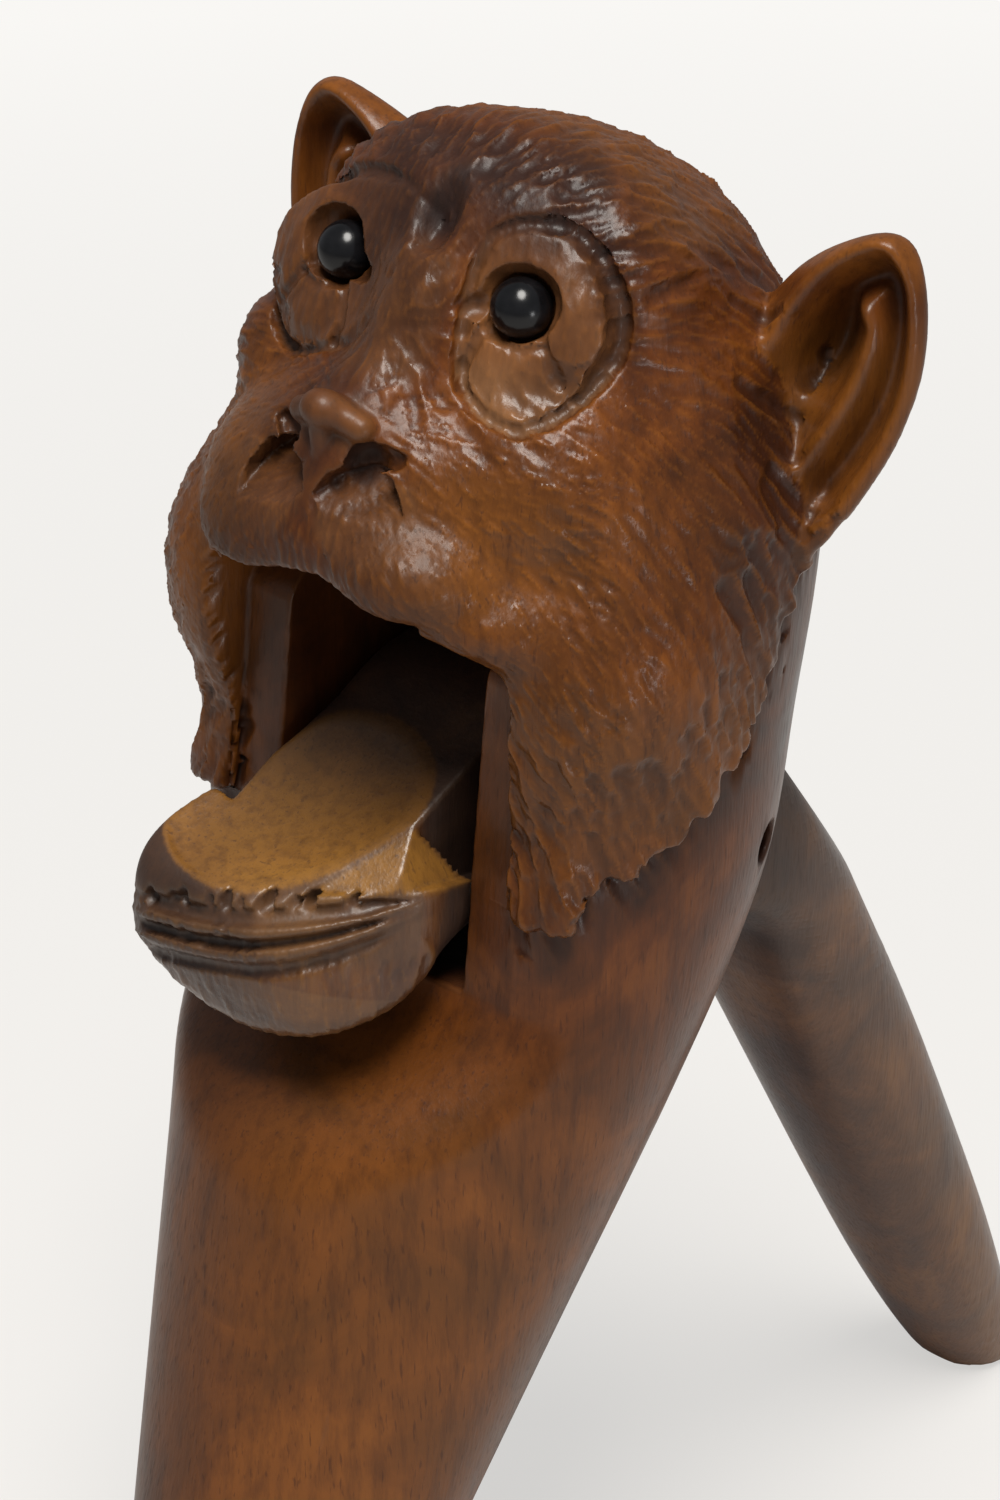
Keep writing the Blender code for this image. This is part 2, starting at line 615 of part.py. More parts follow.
def main():
    clear_scene()
    parts = new_collection("carved_figural_nutcracker")
    tools = new_collection("cutters")
    root = bpy.data.objects.new("head_frame", None)
    parts.objects.link(root)
    pin_world_rise = PIN_BACK * -math.sin(HEAD_TILT) + PIN_UP * math.cos(HEAD_TILT)
    root.location = (0, 0, PIN_HEIGHT - pin_world_rise)
    root.rotation_euler = (-HEAD_TILT, 0, 0)
    pin_axis = bpy.data.objects.new("pin_axis", None)
    parts.objects.link(pin_axis)
    pin_axis.parent = root
    pin_axis.location = (0, PIN_BACK, PIN_UP)
    carved = wood("stained_wood", (0.16, 0.062, 0.025), 0.38)
    lever_wood = wood("lever_wood", (0.19, 0.085, 0.033), 0.42)
    glass = plain_material("black_glass", (0.006, 0.006, 0.007), 0.08, 0.0)
    steel = plain_material("dark_steel", (0.20, 0.19, 0.18), 0.45, 1.0)
    head = build_block(root, parts, tools, carved)
    lever = build_lever(pin_axis, parts, tools, lever_wood)
    pin, bore = build_pin(root, parts, tools, steel)
    ground = build_ground(tools)
    mouth, slot = build_mouth_cutters(root, tools)
    hollows, holes = build_eye_cutters(root, tools)
    for cutter in [mouth] + hollows + build_ear_cutters(root, tools):
        cut(head, cutter)
    finish_carving(head)
    for cutter in [slot] + holes:
        cut(head, cutter)
    for target in (head, lever):
        cut(target, bore)
        cut(target, ground)
    build_eyes(root, parts, glass, steel)
    bpy.context.view_layer.update()
    empties = [thing for thing in parts.objects if thing.type == "EMPTY"]
    for thing in empties:
        parts.objects.unlink(thing)
        tools.objects.link(thing)
    centre_on_ground(root, parts)


main()
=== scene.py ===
"""The looks of the carved monkey nutcracker: its two pieces of wood, the glass eyes, the pin and the light.

Each wooden piece is shaped as a block of distances to its surface, joined and carved like the real one, then
skinned, and then cut all over with gouge strokes. Carving sizes are in millimetres in the head's own frame:
x to the monkey's left, y to the back, z up the face.
"""

import math

import bmesh
import bpy
import numpy as np
import openvdb
from mathutils import Matrix, Vector


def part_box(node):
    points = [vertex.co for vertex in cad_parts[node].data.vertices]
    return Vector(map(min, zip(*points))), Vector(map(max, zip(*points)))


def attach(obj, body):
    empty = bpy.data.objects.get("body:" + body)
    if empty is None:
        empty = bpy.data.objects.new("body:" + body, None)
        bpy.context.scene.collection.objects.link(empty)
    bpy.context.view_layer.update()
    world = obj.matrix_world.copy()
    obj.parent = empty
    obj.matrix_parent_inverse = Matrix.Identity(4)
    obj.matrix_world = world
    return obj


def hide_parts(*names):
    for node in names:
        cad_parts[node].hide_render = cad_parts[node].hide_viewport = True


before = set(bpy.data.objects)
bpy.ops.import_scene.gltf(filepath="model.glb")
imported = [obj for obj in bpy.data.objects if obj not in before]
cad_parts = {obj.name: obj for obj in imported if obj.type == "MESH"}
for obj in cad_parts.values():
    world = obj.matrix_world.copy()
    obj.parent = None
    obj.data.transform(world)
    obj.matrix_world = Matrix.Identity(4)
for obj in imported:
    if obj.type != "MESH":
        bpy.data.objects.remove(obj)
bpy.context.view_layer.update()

MM = 0.001
HEAD_TILT = math.radians(11.7)
PIN_BACK, PIN_UP = -2.0, 1.0
PIN_HOLE_RADIUS = 2.05

# How finely the wood is measured: the steps of its grid, and how many steps from the surface still count
FINE_STEP = 0.34
COARSE_STEP = 1.3
STEP_GROWTH = 1.06
BAND = 3.0
FACES_AT_MOST = 185000
CELLS = 1024

# Distances that are farther than any cut or joint reaches
FAR = 60
OUT_OF_REACH = 20
EVERYWHERE = ((-4 * FAR,) * 3, (4 * FAR,) * 3)

rng = np.random.default_rng(7)


# The head's frame in the room

def head_origin():
    low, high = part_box("pivot_pin")
    middle = (low + high) / 2
    back = PIN_BACK * math.cos(HEAD_TILT) + PIN_UP * math.sin(HEAD_TILT)
    up = -PIN_BACK * math.sin(HEAD_TILT) + PIN_UP * math.cos(HEAD_TILT)
    return Vector((0, middle.y - back * MM, middle.z - up * MM))


ORIGIN = head_origin()
TO_ROOM = Matrix.Translation(ORIGIN) @ Matrix.Rotation(-HEAD_TILT, 4, "X") @ Matrix.Scale(MM, 4)


def room_height(y, z):
    """Height over the floor, in mm, of a point in the head's frame."""
    return ORIGIN.z / MM - y * math.sin(HEAD_TILT) + z * math.cos(HEAD_TILT)


# Distances

def join(one, two, blend):
    """The union of two solids, with a fillet."""
    blend = np.maximum(blend, 1e-6)
    near = np.maximum(blend - np.abs(one - two), 0) / blend
    return np.minimum(one, two) - near * near * blend * 0.25


def meet(one, two, blend):
    """What two solids have in common, with a rounded edge."""
    return -join(-one, -two, blend)


def ease(value, start, end):
    """Rises smoothly from 0 at start to 1 at end."""
    t = np.clip((value - start) / (end - start), 0, 1)
    return t * t * (3 - 2 * t)


def between(value, start, full, fading, gone):
    """Rises from 0 to 1 and falls to 0 again."""
    return ease(value, start, full) * (1 - ease(value, fading, gone))


def spot(x, y, z, middle, radii, start, end):
    """1 round a middle, and down to 0 between start and end, counted in radii."""
    away = [(value - centre) / radius for value, centre, radius in zip((x, y, z), middle, radii)]
    return 1 - ease(np.sqrt(sum(part ** 2 for part in away)), start, end)


def on_line(value, line):
    """How high a line of points runs over a value."""
    return np.interp(value, *np.array(line).T)


def ball(centre, radii, turn=None):
    """An ellipsoid, as a distance and its corners. turn is a 3 x 3 matrix whose rows are its own axes."""
    centre, radii = np.array(centre, float), np.array(radii, float)

    def reach(x, y, z):
        if turn is None:
            away = x - centre[0], y - centre[1], z - centre[2]
        else:
            away = in_axes(turn, centre, x, y, z)
        a, b, c = [part / radius for part, radius in zip(away, radii)]
        size = np.sqrt(a * a + b * b + c * c)
        slope = np.sqrt((a / radii[0]) ** 2 + (b / radii[1]) ** 2 + (c / radii[2]) ** 2)
        return size * (size - 1) / np.maximum(slope, 1e-6)
    span = radii if turn is None else np.full(3, radii.max())
    return reach, centre - span, centre + span


def rod(start, end, start_radius, end_radius):
    """A round bar that tapers, with round ends."""
    start, end = np.array(start, float), np.array(end, float)
    axis = end - start
    long = float(axis @ axis)

    def reach(x, y, z):
        dx, dy, dz = x - start[0], y - start[1], z - start[2]
        t = np.clip((dx * axis[0] + dy * axis[1] + dz * axis[2]) / long, 0, 1)
        ex, ey, ez = dx - t * axis[0], dy - t * axis[1], dz - t * axis[2]
        return np.sqrt(ex * ex + ey * ey + ez * ez) - (start_radius + t * (end_radius - start_radius))
    span = max(start_radius, end_radius)
    return reach, np.minimum(start, end) - span, np.maximum(start, end) + span


def own_axes(facing, up=(0, 0, 1)):
    """Rows: across, up and facing, for something that faces a way."""
    facing = np.array(facing, float) / np.linalg.norm(facing)
    across = np.cross(up, facing)
    across /= np.linalg.norm(across)
    return np.array([across, np.cross(facing, across), facing])


def in_axes(axes, centre, x, y, z):
    """Where a point lies from a centre, along each of its own axes."""
    dx, dy, dz = x - centre[0], y - centre[1], z - centre[2]
    return [row[0] * dx + row[1] * dy + row[2] * dz for row in axes]


def path_reach(u, v, path, closed=False):
    """Distance in a plane to a path of points, and how far along the path the nearest point lies."""
    path = np.array(path, float)
    ends = np.vstack([path[1:], path[:1]]) if closed else path[1:]
    best = np.full(np.broadcast(u, v).shape, 1e6)
    along = np.zeros_like(best)
    done = 0
    for (au, av), (bu, bv) in zip(path, ends):
        du, dv = bu - au, bv - av
        long = math.hypot(du, dv)
        t = np.clip(((u - au) * du + (v - av) * dv) / (long * long), 0, 1)
        gap = np.hypot(u - au - t * du, v - av - t * dv)
        along = np.where(gap < best, done + t * long, along)
        best = np.minimum(best, gap)
        done += long
    return best, along


def outline_reach(u, v, outline):
    """Distance in a plane to a closed outline, below zero inside it."""
    gap = path_reach(u, v, outline, closed=True)[0]
    inside = np.zeros(gap.shape, bool)
    points = np.array(outline, float)
    for (au, av), (bu, bv) in zip(points, np.roll(points, -1, axis=0)):
        crosses = (av > v) != (bv > v)
        slope = (bu - au) / (bv - av) if bv != av else 0
        inside ^= crosses & (u < au + (v - av) * slope)
    return np.where(inside, -gap, gap)


def smooth_line(points, steps=6, closed=False):
    """More points between some, along a smooth curve through them."""
    points = np.array(points, float)
    if closed:
        padded = np.vstack([points[-1:], points, points[:2]])
    else:
        padded = np.vstack([2 * points[0] - points[1], points, 2 * points[-1] - points[-2]])
    out = []
    for i in range(1, len(padded) - 2):
        before, start, end, after = padded[i - 1:i + 3]
        for t in np.arange(steps) / steps:
            out.append(0.5 * (2 * start + (end - before) * t
                              + (2 * before - 5 * start + 4 * end - after) * t ** 2
                              + (3 * start - before - 3 * end + after) * t ** 3))
    if not closed:
        out.append(points[-1])
    return np.array(out)


class Block:
    """A block of wood on a grid of levels that may be uneven: how far each point is from the surface."""

    def __init__(self, *levels):
        self.levels = levels
        self.wood = np.full([len(values) for values in levels], FAR, np.float32)

    def part(self, low, high):
        """The grid's places between two corners."""
        slices = tuple(slice(*np.searchsorted(values, (a, b)))
                       for values, a, b in zip(self.levels, low, high))
        x, y, z = [values[span].astype(np.float32) for values, span in zip(self.levels, slices)]
        return slices, x[:, None, None], y[None, :, None], z[None, None, :]

    def add(self, shape, blend=0, sign=1):
        reach, low, high = shape
        slices, x, y, z = self.part(np.array(low) - blend - 1, np.array(high) + blend + 1)
        self.wood[slices] = sign * join(sign * self.wood[slices], reach(x, y, z), blend)

    def carve(self, shape, blend=0):
        self.add(shape, blend, -1)

    def score(self, gap, radius, low, high, blend, raised=False):
        """Cuts a groove in the surface, or lays a bead on it. gap gives the distance to its line."""
        slices, x, y, z = self.part(low, high)
        wood = self.wood[slices]
        tube = np.hypot(gap(x, y, z), wood) - radius
        self.wood[slices] = join(wood, tube, blend) if raised else meet(wood, -tube, blend)

    def stand(self):
        """Cuts off what would be below the floor."""
        y, z = self.part(*EVERYWHERE)[2:]
        self.wood = meet(self.wood, (-room_height(y, z)).astype(np.float32), 1)

    def skin(self):
        """The surface of the wood, as points and triangles."""
        field = np.clip(self.wood / FINE_STEP, -BAND, BAND)
        for axis in range(3):
            edge = [slice(None)] * 3
            for end in (0, -1):
                edge[axis] = end
                field[tuple(edge)] = BAND
        grid = openvdb.FloatGrid(BAND)
        grid.copyFromArray(field.astype(np.float32))
        points, triangles, quads = grid.convertToPolygons(0.0, 0.0)
        faces = np.vstack([quads[:, [0, 1, 2]], quads[:, [0, 2, 3]], triangles.reshape(-1, 3)])
        placed = np.stack([np.interp(points[:, i], np.arange(len(values)), values)
                           for i, values in enumerate(self.levels)], axis=1)
        return Skin(placed, faces.astype(np.int64))


def levels(start, fine_start, fine_end, end):
    """Grid levels: fine ones in the middle, growing coarser towards both ends."""
    def onward(value, end, way):
        gap, out = FINE_STEP, []
        while way * value < way * end:
            gap = min(gap * STEP_GROWTH, COARSE_STEP)
            value += way * gap
            out.append(value)
        return out
    middle = list(np.arange(fine_start, fine_end + FINE_STEP, FINE_STEP))
    return np.array(onward(middle[0], start, -1)[::-1] + middle + onward(middle[-1], end, 1))


# Strokes of the gouge

def unit(rows):
    return rows / np.maximum(np.linalg.norm(rows, axis=1, keepdims=True), 1e-9)


def dots(one, two):
    return np.einsum("ij,ij->i", one, two)


def cell_codes(points, cell):
    """One number for the cell of the room that each point lies in."""
    x, y, z = np.floor(points / cell).astype(np.int64).T + CELLS // 2
    return (x * CELLS + y) * CELLS + z


class Skin:
    """A carved surface: its points and faces, and what the strokes have done to it."""

    def __init__(self, points, faces):
        self.points, self.faces = points, faces
        self.depth = np.zeros(len(points))
        edges = np.vstack([faces[:, [0, 1]], faces[:, [1, 2]], faces[:, [2, 0]]])
        self.edges = np.unique(np.sort(edges, axis=1), axis=0)
        self.find_normals()

    def find_normals(self):
        a, b, c = [self.points[self.faces[:, i]] for i in range(3)]
        across = np.cross(b - a, c - a)
        out = np.zeros_like(self.points)
        for i, axis in np.ndindex(3, 3):
            out[:, axis] += np.bincount(self.faces[:, i], across[:, axis], len(self.points))
        self.normals = unit(out)

    def spread(self, values, times=1):
        """Evens out values over neighbouring points."""
        one, two = self.edges[:, 0], self.edges[:, 1]
        many = len(values)
        count = np.bincount(one, minlength=many) + np.bincount(two, minlength=many)
        flat = values.reshape(many, -1)
        for _ in range(times):
            total = np.stack([np.bincount(one, row[two], many) + np.bincount(two, row[one], many)
                              for row in flat.T], axis=1)
            flat = 0.5 * flat + 0.5 * total / count[:, None]
        return flat.reshape(values.shape)

    def starts(self, weight, spacing):
        """Places for strokes: about one in each cell, kept with the chance that weight gives."""
        shuffled = rng.permutation(len(self.points))
        codes = cell_codes(self.points[shuffled] + rng.random(3) * spacing, spacing)
        picked = shuffled[np.unique(codes, return_index=True)[1]]
        return picked[rng.random(len(picked)) < weight[picked]]

    def strokes(self, weight, way, kind, vary=0):
        """How deep strokes of a kind cut each point. They start where weight lets them and run along way."""
        spacing, length, width, depth, wander, heel = kind
        picked = self.starts(weight, spacing)
        size = rng.uniform(1 - vary, 1 + vary, len(picked)) if vary else np.ones(len(picked))
        length, width, depth = length * size, width * size, depth * size
        way = np.broadcast_to(way, self.points.shape)[picked]
        normals = self.normals[picked]
        along = unit(way - normals * np.sum(way * normals, axis=1, keepdims=True))
        across = np.cross(normals, along)
        turn = rng.normal(0, wander, len(picked))[:, None]
        along, across = (along * np.cos(turn) + across * np.sin(turn),
                         across * np.cos(turn) - along * np.sin(turn))
        cell = length.max() * 1.1
        codes = cell_codes(self.points, cell)
        order = np.argsort(codes, kind="stable")
        codes = codes[order]
        base = cell_codes(self.points[picked], cell)
        cut = np.zeros(len(self.points))
        for dx, dy, dz in np.ndindex(3, 3, 3):
            code = base + ((dx - 1) * CELLS + dy - 1) * CELLS + dz - 1
            first = np.searchsorted(codes, code, "left")
            count = np.searchsorted(codes, code, "right") - first
            stroke = np.repeat(np.arange(len(picked)), count)
            if not len(stroke):
                continue
            offset = np.arange(len(stroke)) - np.repeat(np.cumsum(count) - count, count)
            point = order[np.repeat(first, count) + offset]
            gap = self.points[point] - self.points[picked[stroke]]
            u = dots(gap, along[stroke]) / length[stroke]
            v = dots(gap, across[stroke]) / width[stroke]
            w = dots(gap, normals[stroke]) / length[stroke]
            facing = dots(self.normals[point], normals[stroke])
            ramp = ease(u, -1, -1 + heel) * (1 - ease(u, -0.2, 1))
            taper = 1 - 0.45 * ease(u, -0.4, 1)
            shape = np.clip(1 - (v / taper) ** 2, 0, 1) * ramp
            shape *= (np.abs(w) < 0.6) & (facing > 0.2)
            np.maximum.at(cut, point, shape * depth[stroke])
        return cut

    def sink(self, cut):
        self.points = self.points - self.normals * cut[:, None]
        self.depth += np.maximum(cut, 0)
        self.find_normals()

    def relief(self, times):
        """How far each point stands above its neighbourhood: above zero on edges, below it in hollows."""
        return dots(self.points - self.spread(self.points, times), self.normals)


# Front grip and head

# Up, back of the middle, and radius
GRIP_ROWS = [
    (60, -14, 18), (52, -14, 24), (42, -14, 27.4), (28, -14, 28.6), (14, -14, 28.6), (0, -14, 28.6),
    (-12, -15.6, 27.6), (-25, -17.8, 25.6), (-36, -19.8, 23.65), (-54, -23.6, 20.5), (-80, -28.9, 16.1),
    (-100, -33, 12.7), (-112, -35.4, 10.1), (-118, -36.6, 7.2), (-122.5, -37.5, 4.6)]
GRIP_TOP = 44
MOUTH_BACK = -30.9
MOUTH_RELIEF = 3.4
MOUTH_LEAN = math.tan(math.radians(5.5))
MOUTH_FLOOR = -14
MOUTH_HALF_WIDTH = 18.5
MOUTH_FLARE = 1.6
MOUTH_RIM = [
    (-19, 17), (-15, 20.4), (-12, 22.4), (-9.5, 23.9), (-6.5, 25.2), (-2, 26.4), (2, 26.8), (6, 26),
    (11, 24.5), (16, 22.8), (19, 21), (21, 19.1)]
LIP_ROOM = 6
FUR_STANDS = 1.3

# Where the fur ends against the smooth neck, seen from the side: back and up
RUFF_LINE = [
    (40, 38), (14, 37), (2, 35.5), (-5, 34), (-9.2, 29), (-11.5, 20), (-15.9, 13), (-20.5, 7.4),
    (-25.5, 3.2), (-29.5, 0), (-32, -3.5), (-60, -3.5)]
BEYOND_THE_FUR = [(-90, -3.5), (-90, 120), (60, 120)]

# The slot for the lever, seen from the side: back and up
SLOT_OUTLINE = [
    (-75, -14), (-15, -14), (-9.1, -13.9), (-5.4, -21.6), (1.5, -32.8), (4.8, -43), (58, -43), (58, -15.8),
    (17.7, 8), (6.6, 14.5), (3.7, 20.8), (-4.6, 25), (-75, 25)]
SLOT_HALF_WIDTH = 12.9

# Lumps that make up the head: the middle, the radii and how softly each runs into the rest
HEAD_LUMPS = [
    ((0, -14.6, 40), (26, 24.2, 27.4), 3), ((0, -22.6, 56.4), (20.5, 13, 12.2), 4),
    ((-2.5, -28.3, 30.6), (21.5, 18.6, 13.6), 5), ((12.5, -27.8, 36.5), (11.5, 11.2, 11), 4),
    ((13, -34.6, 25), (8.4, 7.6, 4.8), 4), ((19.3, -24, 20), (12, 12, 16), 4),
    ((-20.6, -25.6, 20), (12, 12.3, 15), 4), ((-19.6, -26, 41.6), (7, 8.6, 6.6), 3),
    ((15.2, -17, 9), (15, 14.4, 20), 3), ((-15.2, -17, 9), (15, 14.4, 20), 3),
    ((0, -33, 36.8), (13.5, 12.4, 8.8), 3), ((8.4, -39.4, 28.2), (8.2, 7.5, 5.6), 2),
    ((-8.6, -39.2, 28), (8.8, 7.2, 5.8), 2), ((1.2, -34, 49.5), (4.8, 5, 9), 3)]

EYE_SIDE, EYE_BACK, EYE_UP, EYE_RADIUS = 11.1, -32.9, 53.6, 2.9
EYE_PLAY = 0.15
WIRE_LONG, WIRE_RADIUS = 12.5, 0.85
RING_CENTRES = {1: (12.3, -33.9, 52.1), -1: (-12.4, -34.7, 52.1)}
RING_FACINGS = {1: (0.36, -1, 0.12), -1: (-0.12, -1, 0.12)}
RING_FACE = 0.5
RING_BACK = -5.5

# The ring round each eye, outward and up from its middle, and the facets that its face is cut in: the way
# each leans round the ring, how far out it starts and how steep it is
RING_OUTLINES = {
    1: [(-4.8, -4.6), (-5.4, -0.1), (-5.2, 4.1), (-4.3, 7.2), (-1.8, 8.8), (2, 9.1), (5.2, 7.3), (7.6, 3.7),
        (8.1, -0.3), (7.4, -2.6), (6.3, -4.9), (4.1, -7.4), (1.6, -8.7), (-1.3, -8), (-3.6, -6.5)],
    -1: [(8.8, -2.1), (8.9, 1.8), (6.7, 5), (2.8, 7.6), (-1.6, 9.2), (-6.8, 9.6), (-10.4, 9), (-12.4, 7.2),
         (-12.2, 4.1), (-10.9, 1.2), (-9.8, -1.8), (-8.2, -4.5), (-4.6, -6.6), (0.1, -7.9), (3.7, -8.2),
         (6.8, -5.4)]}
RING_FACETS = [
    (92, 4.6, 0.50), (48, 4.8, 0.42), (5, 4.6, 0.34), (-40, 5, 0.30), (-88, 5.4, 0.22), (-140, 4.2, 0.30),
    (176, 3.4, 0.42), (134, 4.2, 0.46)]
LID_TURN = math.radians(-12)

# Creases of the bag under the eye, outward and up from the middle of the ring, and how thick each is
BAG_CREASES = [
    ([(-3, 0.6), (-4, -1.6), (-5, -4.6), (-4.6, -6.6)], 0.55), ([(1.9, 0), (2.9, -2), (4.4, -4.2)], 0.45),
    ([(-3, -1.2), (0, -2.1), (2.6, -1.3)], 0.35)]

# The flat chisel cut below each nostril: a point of it, the way it faces, and its outline from the front
NOSE_CUT_POINT = (6.4, -45, 33.2)
NOSE_CUT_FACING = (0.20, -0.66, 0.72)
NOSE_CUT_OUTLINE = [(0.6, 34.4), (5.2, 30.2), (9, 31.6), (9.2, 34.4), (7.6, 37.4), (4, 37.8), (1.6, 36.6)]

EAR_CENTRES = {1: (29.3, -9.6, 47), -1: (-29.8, -11, 47)}
EAR_TURNS = {1: math.radians(12), -1: math.radians(-4)}
EAR_SPREADS = {1: math.radians(9), -1: math.radians(12)}
EAR_WIDTHS = {1: 1, -1: 1.18}
EAR_STEP = 0.25
EAR_OUTLINE = [
    (-9.5, 6.5), (-6.9, 11.4), (-3.4, 15.1), (0.9, 17.9), (4, 17.2), (6.6, 12.6), (8.1, 6.5), (8.1, 0.6),
    (7.2, -4.6), (5.2, -11), (2.2, -16), (-2, -17.5), (-7, -14), (-11, -6), (-12, 2)]
EAR_CREST = [
    (-7.4, 1.6), (-6.4, 4.6), (-5.3, 8.2), (-3.7, 12), (-1.2, 15.2), (1.3, 16.9), (3.6, 15.8), (5.6, 12.2),
    (6.8, 6.4), (6.9, 0.6), (6, -4.6), (4.2, -10.4), (1.8, -14.6)]
EAR_GROOVE = [
    (-3, 2), (-3, 6), (-1.4, 10.6), (1, 13.4), (3, 13), (4.4, 8.6), (4.9, 3.6), (4, -2), (2.2, -8)]
EAR_FOLD = [(0.6, 10.4), (2.6, 8.8), (2.9, 5.6), (2.4, 1.6), (0.8, -3.4), (-1.4, -8.6)]


def eye_middle(side):
    return side * EYE_SIDE, EYE_BACK, EYE_UP


def grip_shape(x, y, z):
    """The round grip and neck, with the flat face of the neck behind the mouth."""
    dense = smooth_line(GRIP_ROWS[::-1], 5)
    back = np.interp(z, dense[:, 0], dense[:, 1])
    radius = np.interp(z, dense[:, 0], dense[:, 2])
    round_part = (np.sqrt(x * x + (y - back) ** 2) - radius) * 0.96
    below = ease(-z, -MOUTH_FLOOR, 30 - MOUTH_FLOOR)
    plane = mouth_plane(np.maximum(z, MOUTH_FLOOR)) * (1 - below) + (back - radius - 9) * below
    corner = 7 - 5 * ease(z, -12, -2)
    return meet(meet(round_part, plane - y, corner), z - GRIP_TOP, 12)


def mouth_plane(z):
    return MOUTH_BACK - z * MOUTH_LEAN + MOUTH_RELIEF * ease(z, 18, 24)


def fur_side(y, z):
    """How far a point is past the edge of the fur, which is cut into points, on the neck's side of it."""
    line = smooth_line(RUFF_LINE, 5)
    gap, along = path_reach(y, z, line)
    side = np.sign(outline_reach(y, z, np.vstack([line, BEYOND_THE_FUR]))) * gap
    points = 1.1 * np.abs(np.sin(along * 0.62)) + 0.7 * np.abs(np.sin(along * 1.13 + 1))
    return side - points + 0.6


def mouth_hollow(x, y, z):
    """The open mouth in front of the neck's flat face, with room for the lip on the monkey's right."""
    top = on_line(x, MOUTH_RIM) + LIP_ROOM * ease(y, -43.6, -41.4) * ease(-x, 9.5, 12.5)
    half = MOUTH_HALF_WIDTH + MOUTH_FLARE * ease(-y, 33, 41)
    arch = meet((z - top) * 0.95, np.abs(x) - half, 3)
    arch = meet(arch, MOUTH_FLOOR - z, 0.5)
    return meet(arch, y - mouth_plane(z), 0.4)


def slot_hollow(x, y, z):
    return meet(outline_reach(y, z, SLOT_OUTLINE), np.abs(x) - SLOT_HALF_WIDTH, 0.3)


def pin_hole(half):
    return rod((-half, PIN_BACK, PIN_UP), (half, PIN_BACK, PIN_UP), PIN_HOLE_RADIUS, PIN_HOLE_RADIUS)


def ear_axes(side):
    turn, spread = EAR_TURNS[side], EAR_SPREADS[side]
    out = (side * math.cos(spread) * math.cos(turn), math.cos(spread) * math.sin(turn), -math.sin(spread))
    up = (side * math.sin(spread) * math.cos(turn), math.sin(spread) * math.sin(turn), math.cos(spread))
    return np.array([out, up, (side * math.sin(turn), -math.cos(turn), 0)])


def ear_shape(side):
    """A shell with a rolled rim, a groove inside it, a fold and a pocket behind the front of the rim."""
    us = np.arange(-16, 13, EAR_STEP)[:, None]
    vs = np.arange(-20, 21, EAR_STEP)[None, :]
    edge = outline_reach(us, vs, smooth_line(EAR_OUTLINE, closed=True))
    crest, along = path_reach(us, vs, smooth_line(EAR_CREST))
    groove = path_reach(us, vs, smooth_line(EAR_GROOVE))[0]
    fold = path_reach(us, vs, smooth_line(EAR_FOLD))[0]
    root = ease(-us, -1, 9)
    rim_height = 2.7 - 1.5 * ease(along, 16, 40)
    front = -0.5 + rim_height * np.exp(-(crest / 1.65) ** 2) - 2.1 * np.exp(-(groove / 1.5) ** 2)
    front = front + 1.5 * np.exp(-(fold / 1.3) ** 2)
    pocket = np.exp(-((us + 1.5 - 0.12 * (vs - 5)) / 1.9) ** 2 - ((vs - 5.2) / 4.6) ** 2)
    lower = np.exp(-((us + 2.6) / 2.6) ** 2 - ((vs + 6) / 6.5) ** 2)
    front = front - 4.6 * pocket - 1.2 * lower
    back = np.minimum(-2.9 - 2.6 * root - 1.6 * pocket + 1.5 * ease(edge, -3, 0), front - 2)
    axes = ear_axes(side)
    centre = np.array(EAR_CENTRES[side])

    def sample(table, u, v):
        i = np.clip((u - us[0, 0]) / EAR_STEP, 0, table.shape[0] - 1.001)
        j = np.clip((v - vs[0, 0]) / EAR_STEP, 0, table.shape[1] - 1.001)
        i0, j0 = i.astype(np.int32), j.astype(np.int32)
        fi, fj = i - i0, j - j0
        return ((table[i0, j0] * (1 - fi) + table[i0 + 1, j0] * fi) * (1 - fj)
                + (table[i0, j0 + 1] * (1 - fi) + table[i0 + 1, j0 + 1] * fi) * fj)

    def reach(x, y, z):
        u, v, w = in_axes(axes, centre, x, y, z)
        u = u / EAR_WIDTHS[side]
        w = w + 0.012 * np.clip(u + 2, 0, None) ** 2
        shell = meet((w - sample(front, u, v)) * 0.8, (sample(back, u, v) - w) * 0.8, 1.2)
        return meet(shell, sample(edge, u, v), 1.6)
    span = np.array([15, 9, 20])
    return reach, centre - span, centre + span


def ring_axes(side):
    """Outward, up and to the front of the ring round an eye."""
    axes = own_axes(RING_FACINGS[side])
    axes[0] *= side
    return axes


def ring_outline(side):
    return smooth_line(RING_OUTLINES[side], 4, closed=True)


